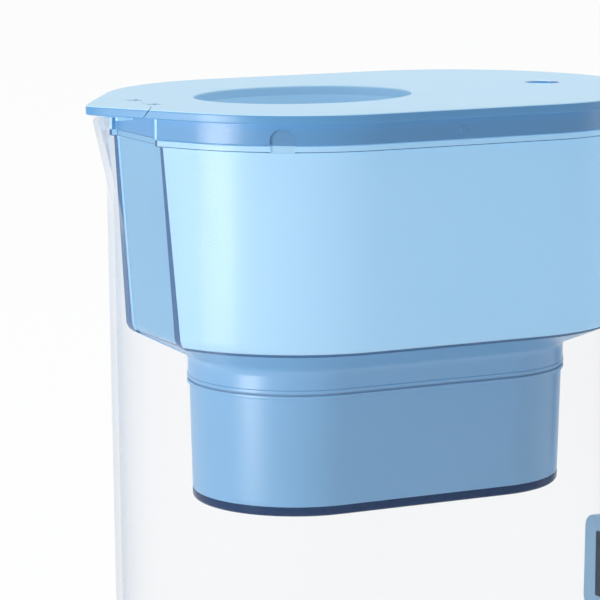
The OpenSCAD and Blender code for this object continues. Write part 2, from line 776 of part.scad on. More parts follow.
module fill_well() {
  z0 = z_lid - well_d;
  y = barrel_l / 2 + side_gap + ear_t / 2;
  w = well_wall;
  color("#8fbde0") difference() {
    union() {
      translate([well_cx, 0, 0]) tube([
        at(oval(well_a - 0.6 + w, well_b - 0.6 + w), z0),
        at(oval(well_a - 0.3 + w, well_b - 0.3 + w), z_plate),
        at(oval(well_a - 0.3, well_b - 0.3), z_plate),
        at(oval(well_a - 0.6, well_b - 0.6), z0)]);
      for (s = [-1, 1]) translate([fill_ax, s * y, 0]) {
        translate([0, 0, fill_az]) bar_y(barrel_r, ear_t);
        translate([-barrel_r, -ear_t / 2, fill_az]) cube([2 * barrel_r, ear_t, z_plate - fill_az]);
      }
      // Web that ties the lugs to the well
      translate([fill_ax - barrel_r - 2.2, -y - ear_t / 2, z0 + 1.4])
        cube([2.6, 2 * y + ear_t, z_plate - z0 - 1.4]);
    }
    translate([fill_ax, 0, fill_az]) bar_y(fill_pin_r + pin_fit, 2 * y + ear_t + 2);
    translate([well_cx, 0, z0 - 1]) linear_extrude(z_plate - z0 + 2)
      polygon(oval(well_a - 0.6, well_b - 0.6));
  }
}

module fill_pin() {
  l = barrel_l + 2 * side_gap + 2 * ear_t;
  color("#b9bec4") translate([fill_ax, 0, fill_az]) bar_y(fill_pin_r, l);
}

module fill_flap() {
  a = well_a + 0.7;
  b = well_b + 0.7;
  color("#a8d1ef") difference() {
    union() {
      translate([well_cx, 0, 0]) loft([
        at(oval(a - 0.5, b - 0.5), flap_z - flap_t),
        at(oval(a, b), flap_z - flap_t + 0.5),
        at(oval(a, b), flap_z)]);
      // Arm from the flap to its barrel
      translate([well_cx + a - 6, -barrel_l / 2, flap_z - flap_t])
        cube([fill_ax - well_cx - a + 6, barrel_l, flap_t - 0.4]);
      translate([fill_ax, 0, fill_az]) bar_y(barrel_r, barrel_l);
      for (i = [0:flap_ribs - 1]) {
        y = (i - (flap_ribs - 1) / 2) * (barrel_l - 2) / max(1, flap_ribs - 1);
        translate([well_cx - a * 0.78, y - 0.7, flap_z - flap_t - flap_rib_h])
          cube([fill_ax - well_cx + a * 0.78, 1.4, flap_rib_h + 0.2]);
      }
    }
    translate([fill_ax, 0, fill_az]) bar_y(fill_pin_r + pin_fit, barrel_l + 2);
  }
}

module spout_flap() {
  color("#cfe9fc") difference() {
    union() {
      intersection() {
        plate();
        seam_front(seam_gap);
      }
      for (s = [-1, 1]) translate([axis_x, s * knuckle_y, 0]) {
        translate([0, 0, axis_z]) bar_y(knuckle_r, knuckle_l);
        translate([-hinge_back - seam_lean, -knuckle_l / 2, z_plate + 0.4])
          cube([hinge_back + seam_lean, knuckle_l, lid_t - 0.4]);
      }
      // Ribs that lie inside the jug's beak
      for (s = [-1, 1]) translate([tip_x + 12, s * 5.6, z_plate - spout_rib + 0.2])
        cube([6, 1.4, 2 * spout_rib], center = true);
    }
    translate([axis_x, 0, axis_z]) bar_y(spout_pin_r + pin_fit, 2 * knuckle_y + knuckle_l + 2);
  }
}

module spout_pin() {
  color("#c4c9ce") translate([axis_x, 0, axis_z]) bar_y(spout_pin_r, hinge_l);
}

// ---------------------------------------------------------------- indicator

board_z = z_plate - 1 - button_travel - 1.3;

module indicator_bezel() {
  color("#d6dde3") translate([ix, 0, z_lid - bezel_d]) rotate_extrude($fn = 72)
    polygon([[button_r + button_gap, 0], [bezel_r, 0], [bezel_r, bezel_d],
      [bezel_r - 0.2, bezel_d + bezel_up], [button_r + button_gap + 0.2, bezel_d + bezel_up],
      [button_r + button_gap, bezel_d]]);
}

module indicator_button() {
  color("#4f9ee0") translate([ix, 0, 0]) union() {
    translate([0, 0, z_plate - 0.5]) cylinder(r = button_r, h = lid_t + 0.5 - button_low);
    translate([0, 0, z_plate - 1.1]) cylinder(r = button_r + 1, h = 1);
    translate([0, 0, board_z + button_travel + 0.3])
      cylinder(r = 1.6, h = z_plate - 1 - board_z - button_travel - 0.3);
  }
}

module indicator_case() {
  color("#e3edf5") translate([ix, 0, 0]) difference() {
    translate([0, 0, z_plate - case_h]) cylinder(r = case_r, h = case_h);
    translate([0, 0, board_z - board_t]) cylinder(r = case_r - case_wall, h = case_h);
    translate([0, 0, z_plate - case_h + case_wall]) cylinder(r = cell_r + 0.2, h = case_h);
  }
}

module indicator_board() {
  color("#2f7d4f") translate([ix, 0, board_z - board_t])
    cylinder(r = case_r - case_wall - 0.1, h = board_t);
}

module indicator_cell() {
  color("#bfc3c7") translate([ix, 0, z_plate - case_h + case_wall])
    cylinder(r = cell_r, h = cell_h);
}

jug();
handle();
handle_grip();
hopper();
filter_housing();
housing_seal();
housing_base();
cartridge_shell();
cartridge_cap();
cartridge_gasket();
filter_media();
cartridge_screen();
lid_cover();
lid_frame();
fill_well();
fill_flap();
fill_pin();
spout_flap();
spout_pin();
indicator_bezel();
indicator_button();
indicator_case();
indicator_board();
indicator_cell();
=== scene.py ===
"""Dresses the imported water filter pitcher: smooth meshes, moulded plastics, studio and camera.

Sizes are in millimetres in the classes below and become metres as a mesh is finished.
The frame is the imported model's: +Z up, the spout to -X, the handle to +X.
"""

import logging
import math
from collections.abc import Callable, Sequence
from dataclasses import dataclass
from enum import Enum

import bmesh
import bpy
from mathutils import Matrix, Vector


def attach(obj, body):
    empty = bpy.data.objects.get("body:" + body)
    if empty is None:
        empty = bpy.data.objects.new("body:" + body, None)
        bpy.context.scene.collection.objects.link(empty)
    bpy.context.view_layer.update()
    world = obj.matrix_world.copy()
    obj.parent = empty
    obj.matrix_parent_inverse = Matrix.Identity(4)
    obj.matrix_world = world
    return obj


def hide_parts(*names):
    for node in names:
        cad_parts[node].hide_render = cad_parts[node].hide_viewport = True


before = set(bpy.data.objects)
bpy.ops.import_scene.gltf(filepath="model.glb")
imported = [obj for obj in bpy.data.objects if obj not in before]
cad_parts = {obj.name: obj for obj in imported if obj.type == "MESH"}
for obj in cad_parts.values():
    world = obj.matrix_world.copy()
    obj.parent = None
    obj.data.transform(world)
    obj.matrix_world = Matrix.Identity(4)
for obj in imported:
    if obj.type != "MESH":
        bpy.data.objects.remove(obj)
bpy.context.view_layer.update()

MM = 0.001
WHITE = (1, 1, 1, 1)
log = logging.getLogger("pitcher")

Point = tuple[float, float]
Form = bmesh.types.BMesh
Face = bmesh.types.BMFace
Material = bpy.types.Material


# ------------------------------------------------------------------ colours and nodes


def linear(code: str) -> tuple[float, float, float, float]:
    """Turns an sRGB hex colour to the linear colour that shaders take.

    Args:
        code: The colour as "#rrggbb".

    Returns:
        Red, green, blue and an alpha of 1.
    """
    parts = [int(code[i : i + 2], 16) / 255 for i in (1, 3, 5)]
    made = [c / 12.92 if c <= 0.04045 else ((c + 0.055) / 1.055) ** 2.4 for c in parts]
    return (made[0], made[1], made[2], 1.0)


def add_node(
    tree: bpy.types.NodeTree,
    kind: str,
    values: dict[str | int, object] | None = None,
    links: dict[str | int, bpy.types.NodeSocket] | None = None,
) -> bpy.types.Node:
    """Adds one node with its settings and links.

    Args:
        tree: The node tree that takes it.
        kind: The node's Blender type.
        values: Settings, by the name of an input or of the node's own attribute.
        links: Sockets to link in, by the name or number of the input.

    Returns:
        The new node.
    """
    node = tree.nodes.new(kind)
    for name, value in (values or {}).items():
        if isinstance(name, int) or name in node.inputs:
            node.inputs[name].default_value = value
        else:
            setattr(node, name, value)
    for name, socket in (links or {}).items():
        tree.links.new(socket, node.inputs[name])
    return node


def blank(name: str) -> tuple[Material, bpy.types.NodeTree]:
    """Starts a material.

    Args:
        name: Its name.

    Returns:
        The material and its empty tree.
    """
    material = bpy.data.materials.new(name)
    material.use_nodes = True
    material.node_tree.nodes.clear()
    return material, material.node_tree


class Grain(Enum):
    """The finish of a mould's steel, which the plastic copies: width and depth of its pits.

    Real pits are 0.02 to 0.1 mm wide. They are drawn several times wider, because pits that
    fine would only flicker at this distance.
    """

    POLISHED = (0.6, 0.0006)
    SATIN = (0.5, 0.0022)
    SPARK = (0.8, 0.008)


@dataclass(frozen=True)
class Plastic:
    """An injection-moulded plastic such as ABS, SAN or polypropylene.

    Its colour drifts a little where the melt flowed, in clouds a few centimetres across, and
    its gloss comes from the grain of the mould and from handling.
    """

    name: str
    colour: str
    cloud: str
    roughness: float
    grain: Grain = Grain.SATIN
    ior: float = 1.46
    gloss: float = 0.5
    # Strength and colour of a painted glow, light that no lamp gives
    painted_glow: float = 0.0
    lit: str = "#87c4ee"
    clear: float = 0.0
    cloud_mm: float = 45.0

    def make(self) -> Material:
        """Builds the material.

        Returns:
            The material, with its nodes.
        """
        material, tree = blank(self.name)
        place = add_node(tree, "ShaderNodeTexCoord").outputs["Object"]
        # Object coordinates are metres, so a scale of 1 / (size in metres) repeats at that size
        clouds = add_node(
            tree,
            "ShaderNodeTexNoise",
            {"Scale": 1 / (self.cloud_mm * MM), "Detail": 2.0, "Roughness": 0.4},
            {"Vector": place},
        ).outputs["Fac"]
        tint = add_node(
            tree,
            "ShaderNodeMix",
            {"data_type": "RGBA", 6: linear(self.colour), 7: linear(self.cloud)},
            {0: clouds},
        ).outputs[2]
        # Handling leaves patches about 9 mm wide that shine a little more or less
        marks = add_node(
            tree,
            "ShaderNodeTexNoise",
            {"Scale": 1 / (9 * MM), "Detail": 3.0, "Distortion": 0.4},
            {"Vector": place},
        ).outputs["Fac"]
        sheen = add_node(
            tree,
            "ShaderNodeMapRange",
            {
                "From Min": 0.3, "From Max": 0.7,
                "To Min": self.roughness * 0.95, "To Max": self.roughness * 1.05,
            },
            {"Value": marks},
        ).outputs["Result"]
        width, depth = self.grain.value
        pits = add_node(
            tree,
            "ShaderNodeTexNoise",
            {"Scale": 1 / (width * MM), "Detail": 1.0},
            {"Vector": place},
        ).outputs["Fac"]
        bump = add_node(
            tree,
            "ShaderNodeBump",
            {"Strength": 0.3, "Distance": depth * MM * 4},
            {"Height": pits},
        ).outputs["Normal"]
        body = add_node(
            tree,
            "ShaderNodeBsdfPrincipled",
            {
                "IOR": self.ior, "Specular IOR Level": self.gloss,
                # Stands in for light that crosses a milky wall. Its strength is given, and it
                # would shine in the dark too
                "Emission Color": linear(self.lit), "Emission Strength": self.painted_glow,
            },
            {"Base Color": tint, "Roughness": sheen, "Normal": bump},
        ).outputs["BSDF"]
        if self.clear:
            # A thin milky wall lets the shapes behind it show faintly
            seen = add_node(tree, "ShaderNodeBsdfTransparent", {"Color": linear(self.cloud)})
            body = add_node(
                tree, "ShaderNodeMixShader", {"Fac": self.clear}, {1: body, 2: seen.outputs["BSDF"]}
            ).outputs["Shader"]
        add_node(tree, "ShaderNodeOutputMaterial", links={"Surface": body})
        return material


@dataclass(frozen=True)
class ClearPlastic:
    """Clear SAN or copolyester, polished: nearly nothing shows face on, and a wall seen on
    edge is pale grey-blue, because the eye then looks through more of it."""

    name: str
    edge: str
    face_share: float
    edge_share: float
    roughness: float = 0.06

    def make(self) -> Material:
        """Builds the material.

        Returns:
            The material, with its nodes.
        """
        material, tree = blank(self.name)
        place = add_node(tree, "ShaderNodeTexCoord").outputs["Object"]
        waves = add_node(
            tree, "ShaderNodeTexNoise", {"Scale": 1 / (30 * MM), "Detail": 1.0}, {"Vector": place}
        ).outputs["Fac"]
        bump = add_node(
            tree, "ShaderNodeBump", {"Strength": 0.1, "Distance": 0.05 * MM}, {"Height": waves}
        ).outputs["Normal"]
        turn = add_node(tree, "ShaderNodeLayerWeight", {"Blend": 0.5}).outputs["Facing"]
        steep = add_node(tree, "ShaderNodeMath", {"operation": "POWER", 1: 5.0}, {0: turn})
        share = add_node(
            tree,
            "ShaderNodeMapRange",
            {"To Min": self.face_share, "To Max": self.edge_share},
            {"Value": steep.outputs[0]},
        ).outputs["Result"]
        film = add_node(
            tree,
            "ShaderNodeBsdfPrincipled",
            {"Base Color": linear(self.edge), "Roughness": self.roughness, "IOR": 1.57},
            {"Normal": bump},
        ).outputs["BSDF"]
        clear = add_node(tree, "ShaderNodeBsdfTransparent").outputs["BSDF"]
        mixed = add_node(tree, "ShaderNodeMixShader", links={"Fac": share, 1: clear, 2: film})
        add_node(tree, "ShaderNodeOutputMaterial", links={"Surface": mixed.outputs["Shader"]})
        return material


@dataclass(frozen=True)
class TurnedSteel:
    """Stainless steel turned on a lathe, with fine rings round its axis."""

    name: str
    colour: str
    roughness: float

    def make(self) -> Material:
        """Builds the material.

        Returns:
            The material, with its nodes.
        """
        material, tree = blank(self.name)
        place = add_node(tree, "ShaderNodeTexCoord").outputs["Object"]
        rings = add_node(
            tree, "ShaderNodeTexNoise", {"Scale": 1 / (0.4 * MM), "Detail": 2.0}, {"Vector": place}
        ).outputs["Fac"]
        gloss = add_node(
            tree,
            "ShaderNodeMapRange",
            {"To Min": self.roughness * 0.8, "To Max": self.roughness * 1.3},
            {"Value": rings},
        ).outputs["Result"]
        body = add_node(
            tree,
            "ShaderNodeBsdfPrincipled",
            {"Base Color": linear(self.colour), "Metallic": 1.0},
            {"Roughness": gloss},
        ).outputs["BSDF"]
        add_node(tree, "ShaderNodeOutputMaterial", links={"Surface": body})
        return material


class Finishes:
    """Every finish on the pitcher, made once."""

    def __init__(self) -> None:
        """Makes the materials."""
        # Glass-clear wall: nothing shows face on, and the silhouette draws a pale grey-blue line
        self.jug = ClearPlastic("clear_san", "#b4c6d8", 0.03, 0.7).make()
        # A clearer copy of the same plastic on the rim and the ledge, which paints out the
        # highlight that the rim's rounded edge would catch
        self.jug_rim_highlight_painted_out = ClearPlastic("clear_san_rim_highlight_painted_out", "#b4c6d8", 0.02, 0.12).make()
        # The lugs are solid blocks of it, so they look denser than the wall
        self.jug_lug = ClearPlastic("clear_san_lug", "#a9c6de", 0.75, 0.9, 0.2).make()
        # Satin pale blue: the broad light surface that the eye meets first
        self.lid = Plastic("lid_abs", "#c9ecff", "#c1e8ff", 0.4, Grain.SATIN, gloss=0.2).make()
        # A deeper blue under the plate: painted shade, so that the skirt reads as a shadowed second
        # layer. The plate's upright rim takes it too, as painted shade
        self.frame = Plastic(
            "lid_frame_abs_painted_shade", "#5c9bcb", "#5695c6", 0.32, Grain.SATIN, gloss=0.7
        ).make()
        # The well's wall is paler than the lid and has a painted glow, which lifts it out of its
        # own shade
        self.well = Plastic(
            "well_abs_painted_light", "#d4f0ff", "#cdecff", 0.4, Grain.SATIN, gloss=0.2, painted_glow=0.09
        ).make()
        # Milky and glossy, with a painted glow that stands in for light crossing its wall
        self.hopper = Plastic(
            "hopper_pp", "#a9bdc8", "#a1b7c4", 0.3, Grain.POLISHED, gloss=0.35, painted_glow=0.56, clear=0.1
        ).make()
        # A darker copy of the same plastic without the painted glow: painted shade on the
        # channel's recessed panel and on the underside below the shoulder
        self.hopper_painted_shade = Plastic(
            "hopper_pp_painted_shade", "#86b7d8", "#7fb1d3", 0.22, Grain.POLISHED, gloss=0.4
        ).make()
        # A deep blue copy of the same plastic: painted shade on the rib ends beside the channel, on
        # the band where the shoulder turns under and on the hairline under the flange
        self.hopper_painted_dark_edge = Plastic(
            "hopper_pp_painted_dark_edge", "#2f6293", "#2a5b8b", 0.2, Grain.POLISHED, gloss=0.3
        ).make()
        # A denser blue that sets the filter housing off from the hopper above it
        self.housing = Plastic(
            "housing_abs", "#7db1d9", "#76abd4", 0.32, Grain.SATIN, gloss=1.0
        ).make()
        # Near-black navy: the one dark band, which ends the assembly below
        self.navy = Plastic("housing_base_abs", "#0c3360", "#092c55", 0.25, gloss=0.15).make()
        # Pale blue of the lid, a little deeper, on the parts that a hand touches
        self.handle = Plastic("handle_abs", "#a9d3f1", "#a1cdee", 0.36, Grain.SATIN).make()
        # Dull rubbery blue: no highlights, which says soft
        self.grip = Plastic("grip_tpe", "#4f86b8", "#487eb0", 0.72, Grain.SPARK).make()
        # Off-white, as undyed polypropylene is
        self.cap = Plastic("cartridge_pp", "#e4eff8", "#dce9f4", 0.4, Grain.SATIN).make()
        # Matte light seal rings
        self.seal = Plastic("seal_silicone", "#dbe7ef", "#d2dfe9", 0.55, Grain.SATIN).make()
        # The joint's seal lies in shade between two flanges: a grey-blue line
        self.joint = Plastic("joint_silicone", "#7f9fbd", "#7897b5", 0.55, Grain.SATIN).make()
        # Black granules, dull and coarse
        self.media = Plastic("carbon_granules", "#2b2f33", "#44484c", 0.9, Grain.SPARK).make()
        # Woven screen: light grey and dull
        self.screen = Plastic("screen_pet", "#b9c3cb", "#a9b4bd", 0.6, Grain.SPARK).make()
        # Clear saturated blue over the indicator: the one strong accent
        self.button = Plastic(
            "button_pc", "#5aa9e2", "#54a3dd", 0.6, Grain.POLISHED, ior=1.1
        ).make()
        # Thin bright ring round the button
        self.bezel = TurnedSteel("bezel_steel", "#b4cbe0", 0.4).make()
        # Hinge pins and the cell's case
        self.pin = TurnedSteel("pin_steel", "#b9bec4", 0.3).make()
        # Green solder resist
        self.board = Plastic("board_resist", "#256b43", "#1f5f3a", 0.35, Grain.SATIN).make()


# ------------------------------------------------------------------ outlines and lofts


@dataclass(frozen=True)
class Plan:
    """The oval plan that every main piece follows, with its front end drawn out to a beak."""

    end_x: float = 34.75
    soft: float = 1.5
    side_steps: int = 48
    rear_steps: int = 64

    def reach(self, r: float, d: float, off: float) -> float:
        """Distance of the outline from the front centre, at an angle off the spout.

        Args:
            r: Radius of the round end.
            d: Distance of the tip from the front centre.
            off: Angle off the spout, in degrees.

        Returns:
            The distance.
        """
        drawn = self.soft if d > r else 0.0
        lean = math.degrees(math.acos(min(1.0, r / d))) + drawn - math.hypot(off, self.soft)
        return r / math.cos(math.radians(max(0.0, lean)))

    def front_angles(self) -> list[float]:
        """Angles from the left side round the spout to the right, closer together at the tip."""
        shares = [i / self.side_steps for i in range(self.side_steps + 1)]
        half = [90 * (0.3 * t + 0.7 * t * t) for t in shares]
        return [180 - a for a in reversed(half)] + [180 + a for a in half[1:]]

    def rear(self, r: float) -> list[Point]:
        """The rear round end, from the right side to the left."""
        angles = [math.radians(-90 + 180 * i / self.rear_steps) for i in range(self.rear_steps + 1)]
        return [(self.end_x + r * math.cos(a), r * math.sin(a)) for a in angles]

    def at_angle(self, r: float, d: float, angle: float) -> Point:
        """A point of the front end.

        Args:
            r: Radius of the round end.
            d: Distance of the tip from the front centre.
            angle: Its direction from the front centre, where the spout's is 180 degrees.

        Returns:
            The point.
        """
        q = self.reach(r, d, abs(angle - 180))
        turn = math.radians(angle)
        return (q * math.cos(turn) - self.end_x, q * math.sin(turn))

    def outline(self, r: float, d: float | None = None) -> list[Point]:
        """The plan's outline, seen from above, counter-clockwise.

        Args:
            r: Radius of the round ends.
            d: Distance of the tip from the front centre; without it the plan has no beak.

        Returns:
            The outline's points.
        """
        d = d or r
        return [self.at_angle(r, d, angle) for angle in self.front_angles()] + self.rear(r)

    def at_radius(self, r: float, z: float) -> list[Point]:
        """The outline at a radius, the same at every height."""
        return self.outline(r)

    def half_at(self, r: float, d: float, e: float) -> float:
        """Half the plan's width at a distance ahead of the front centre.

        Args:
            r: Radius of the round end.
            d: Distance of the tip from the front centre.
            e: The distance at which it is measured.

        Returns:
            The half width.
        """
        w = math.acos(min(1.0, r / d)) + (math.radians(self.soft) if d > r else 0.0)
        if e <= r * math.cos(w):
            return math.sqrt(r * r - e * e)
        return (r - e * math.cos(w)) / math.sin(w)

    def cut(
        self, r: float, d: float, flat: float, deep: float, half: float, soft: float = 0.35
    ) -> list[Point]:
        """The plan with a flat front that has a channel in it.

        Args:
            r: Radius of the round ends.
            d: Distance of the tip, before it is cut off, from the front centre.
            flat: Distance of the flat front from the front centre.
            deep: Distance of the channel's face from the front centre.
            half: Half width of the channel.
            soft: Rounding of the front's corners.

        Returns:
            The outline's points, as many whatever the sizes.
        """
        s = min(flat, 0.9985 * d)
        g = min(deep, s - 0.02)
        w = self.half_at(r, d, s)
        c = math.degrees(math.atan2(w, s))
        y = min(half, 0.95 * w)
        steps = self.side_steps - 6
        left = [self.at_angle(r, d, 90 + (90 - c) * i / steps) for i in range(steps + 1)]
        x = self.end_x
        corners = [
            (*left[-2], 0), (*left[-1], soft), (-x - s, y, soft), (-x - g, y, soft),
            (-x - g, -y, soft), (-x - s, -y, soft), (left[-1][0], -left[-1][1], soft),
            (left[-2][0], -left[-2][1], 0),
        ]
        front = rounded(corners, 3)[1:-1]
        right = [(px, -py) for px, py in reversed(left[:-1])]
        return left[:-1] + front + right + self.rear(r)

    def oval(self, a: float, b: float, x: float = 0.0, steps: int = 144) -> list[Point]:
        """An ellipse about a place on the middle line."""
        turn = [2 * math.pi * i / steps for i in range(steps)]
        return [(x + a * math.cos(t), b * math.sin(t)) for t in turn]


def rounded(profile: Sequence[tuple[float, float, float]], steps: int = 5) -> list[Point]:
    """Rounds the corners of a section.

    Args:
        profile: Corners as inset, height and the radius of the rounding.
        steps: Steps of each rounding.

    Returns:
        The section's points.
    """
    made: list[Point] = []
    for i, (w, z, radius) in enumerate(profile):
        if radius <= 0 or i in (0, len(profile) - 1):
            made.append((w, z))
            continue
        here = Vector((w, z))
        back = Vector(profile[i - 1][:2]) - here
        on = Vector(profile[i + 1][:2]) - here
        angle = back.angle(on)
        run = min(radius / math.tan(angle / 2), back.length * 0.49, on.length * 0.49)
        radius = run * math.tan(angle / 2)
        back.normalize()
        on.normalize()
        centre = here + (back + on).normalized() * (radius / math.sin(angle / 2))
        start, end = here + back * run - centre, here + on * run - centre
        sweep = math.atan2(start.cross(end), start.dot(end))
        for k in range(steps + 1):
            t = sweep * k / steps
            spoke = Vector(
                (
                    start.x * math.cos(t) - start.y * math.sin(t),
                    start.x * math.sin(t) + start.y * math.cos(t),
                )
            )
            made.append(tuple(centre + spoke))
    return made


def between(one: Sequence[Point], other: Sequence[Point], share: float) -> list[Point]:
    """The outline that lies between two outlines of equal length.

    Args:
        one: The outline at a share of 0.
        other: The outline at a share of 1.
        share: How far from one to the other.

    Returns:
        The outline's points.
    """
    return [
        (a[0] + (b[0] - a[0]) * share, a[1] + (b[1] - a[1]) * share) for a, b in zip(one, other)
    ]


class Loft:
    """A form drawn up ring by ring: the first ring is a circle, and each later one is
    extruded from the one before and set on its own outline."""

    def __init__(self) -> None:
        """Starts an empty form."""
        self.bm = bmesh.new()
        self.rings: list[list[bmesh.types.BMVert]] = []

    def ring(self, points: Sequence[Sequence[float]]) -> None:
        """Adds the next ring.

        Args:
            points: The ring's places in space, as many as in every ring.
        """
        if not self.rings:
            verts = list(bmesh.ops.create_circle(self.bm, segments=len(points), radius=1)["verts"])
        else:
            made = bmesh.ops.extrude_edge_only(self.bm, edges=self.loop(-1))["geom"]
            fresh = {v for v in made if isinstance(v, bmesh.types.BMVert)}
            verts = [
                next(o for o in (e.other_vert(v) for e in v.link_edges) if o in fresh)
                for v in self.rings[-1]
            ]
        for vert, point in zip(verts, points):
            vert.co = point
        self.rings.append(verts)

    def loop(self, number: int) -> list[bmesh.types.BMEdge]:
        """The edges of one ring."""
        verts = self.rings[number]
        return [self.bm.edges.get((a, b)) for a, b in zip(verts, verts[1:] + verts[:1])]

    def cap(self, number: int) -> None:
        """Closes one ring with a flat face."""
        bmesh.ops.contextual_create(self.bm, geom=self.loop(number))

    def join_ends(self) -> None:
        """Joins the last ring to the first, as round a wall's section."""
        self.ring([v.co.copy() for v in self.rings[0]])
        last = self.rings.pop()
        bmesh.ops.weld_verts(self.bm, targetmap=dict(zip(last, self.rings[0])))

    def solid(self) -> Form:
        """The form with both ends closed."""
        self.cap(0)
        self.cap(-1)
        return self.bm


def level(points: Sequence[Point], z: float) -> list[tuple[float, float, float]]:
    """An outline at one height."""
    return [(x, y, z) for x, y in points]


def drawn(
    section: Sequence[Point], outline: Callable[[float, float], Sequence[Point]], closed: bool
) -> Form:
    """Draws a section round the plan.

    Args:
        section: The section's points, as inset and height.
        outline: Gives the plan's outline for an inset and a height.
        closed: True where the section closes on itself, False where its ends are capped.

    Returns:
        The form.
    """
    form = Loft()
    for w, z in section:
        form.ring(level(outline(w, z), z))
    if closed:
        form.join_ends()
        return form.bm
    return form.solid()


def soften(bm: Form, edges: Sequence[bmesh.types.BMEdge], offset: float, segments: int) -> None:
    """Rounds some of a form's edges."""
    bmesh.ops.bevel(
        bm, geom=edges, offset=offset, segments=segments, profile=0.5, affect="EDGES", material=-1
    )


def bar(
    radius: float,
    length: float,
    centre: Sequence[float],
    axis: str = "Y",
    soft: float = 0.2,
    steps: int = 48,
) -> Form:
    """A round bar with softened ends.

    Args:
        radius: Its radius.
        length: Its length.
        centre: Its middle.
        axis: The axis it lies along, Y or Z.
        soft: How far its end edges are rounded.
        steps: Sides round it.

    Returns:
        The bar.
    """
    bm = bmesh.new()
    bmesh.ops.create_cone(
        bm, cap_ends=True, segments=steps, radius1=radius, radius2=radius, depth=length
    )
    if soft:
        ends = [e for e in bm.edges if abs(e.verts[0].co.z - e.verts[1].co.z) < 1e-6]
        soften(bm, ends, soft, 3)
    turn = Matrix.Rotation(math.pi / 2, 4, "X") if axis == "Y" else Matrix()
    bmesh.ops.transform(bm, matrix=Matrix.Translation(centre) @ turn, verts=bm.verts)
    return bm


def block(low: Sequence[float], high: Sequence[float], soft: float = 0.0) -> Form:
    """A block between two corners.

    Args:
        low: Its lowest corner.
        high: Its highest corner.
        soft: How far its edges are rounded.

    Returns:
        The block.
    """
    bm = bmesh.new()
    bmesh.ops.create_cube(bm, size=1)
    size = [h - l for l, h in zip(low, high)]
    middle = [(h + l) / 2 for l, h in zip(low, high)]
    bmesh.ops.transform(
        bm, matrix=Matrix.Translation(middle) @ Matrix.Diagonal((*size, 1)), verts=bm.verts
    )
    if soft:
        soften(bm, bm.edges[:], soft, 2)
    return bm


def scratch(bm: Form) -> bpy.types.Object:
    """A helper object for a form, in millimetres, which is removed again."""
    bmesh.ops.remove_doubles(bm, verts=bm.verts, dist=0.0005)
    bmesh.ops.recalc_face_normals(bm, faces=bm.faces)
    mesh = bpy.data.meshes.new("scratch")
    bm.to_mesh(mesh)
    bm.free()
    made = bpy.data.objects.new("scratch", mesh)
    bpy.context.scene.collection.objects.link(made)
    return made


class Cut(Enum):
    """How one form acts on another."""

    TAKE = "DIFFERENCE"
    ADD = "UNION"
    KEEP = "INTERSECT"


Steps = list[tuple[Cut, Form]]


def carve(
    form: Form, others: Sequence[tuple[Cut, Form]]
) -> Form:
    """Adds forms to a form, cuts them from it or keeps what they share.

    Args:
        form: The form to work on.
        others: What to do, and with which form, in order.

    Returns:
        The result.
    """
    target = scratch(form)
    helpers = []
    for cut, other in others:
        helper = scratch(other)
        helpers.append(helper)
        step = target.modifiers.new("carve", "BOOLEAN")
        step.operation, step.object, step.solver = cut.value, helper, "EXACT"
    bpy.context.view_layer.update()
    seen = target.evaluated_get(bpy.context.evaluated_depsgraph_get())
    bm = bmesh.new()
    bm.from_mesh(seen.to_mesh())
    seen.to_mesh_clear()
    for helper in [target, *helpers]:
        mesh = helper.data
        bpy.data.objects.remove(helper)
        bpy.data.meshes.remove(mesh)
    bmesh.ops.remove_doubles(bm, verts=bm.verts, dist=0.001)
    bmesh.ops.dissolve_degenerate(bm, edges=bm.edges, dist=0.001)
    return bm


def gather(*forms: Form) -> Form:
    """Puts separate forms in one mesh."""
    bm = bmesh.new()
    for form in forms:
        mesh = bpy.data.meshes.new("part")
        form.to_mesh(mesh)
        form.free()
        bm.from_mesh(mesh)
        bpy.data.meshes.remove(mesh)
    return bm


def finish_piece(
    bm: Form,
    name: str,
    material: Material,
    body: str,
    nodes: Sequence[str],
    crease: float = 32.0,
    accents: Sequence[tuple[Material, Callable[[Face], bool]]] = (),
) -> bpy.types.Object:
    """Makes a form a finished piece that rides on its body.

    Args:
        bm: The form, in millimetres.
        name: The piece's name.
        material: Its finish.
        body: The body it rides on.
        nodes: The nodes it stands for.
        crease: Edges sharper than this, in degrees, stay sharp.
        accents: Further finishes, each with a test that picks the faces it is on.

    Returns:
        The piece.
    """
    bmesh.ops.remove_doubles(bm, verts=bm.verts, dist=0.0005)
    bmesh.ops.recalc_face_normals(bm, faces=bm.faces)
    for number, (_, test) in enumerate(accents, 1):
        for face in bm.faces:
            if test(face):
                face.material_index = number
    bmesh.ops.scale(bm, vec=(MM, MM, MM), verts=bm.verts)
    for face in bm.faces:
        face.smooth = True
    for edge in bm.edges:
        edge.smooth = len(edge.link_faces) == 2 and edge.calc_face_angle(0) < math.radians(crease)
    mesh = bpy.data.meshes.new(name)
    bm.to_mesh(mesh)
    bm.free()
    mesh.materials.append(material)
    for other, _ in accents:
        mesh.materials.append(other)
    piece = bpy.data.objects.new(name, mesh)
    bpy.context.scene.collection.objects.link(piece)
    even = piece.modifiers.new("even_shading", "WEIGHTED_NORMAL")
    even.weight, even.keep_sharp = 50, True
    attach(piece, body)
    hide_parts(*nodes)
    log.info("%s: %d faces, rides on %s", name, len(mesh.polygons), body)
    return piece


def dress(node: str, material: Material) -> None:
    """Gives a CAD node its finish."""
    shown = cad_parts[node]
    shown.data.materials.clear()
    shown.data.materials.append(material)
    log.info("%s: kept, with finish %s", node, material.name)


# ------------------------------------------------------------------ sub-assemblies


@dataclass
class Heights:
    """Heights that several sub-assemblies share."""

    lid: float = 262.0
    plate: float = 258.6
    rim: float = 258.3
    flange: float = 250.7
    wall: float = 248.4
    ledge: float = 248.3
    shoulder: float = 180.0
    neck: float = 167.0
    joint: float = 158.2
    house: float = 157.6
    base: float = 116.4


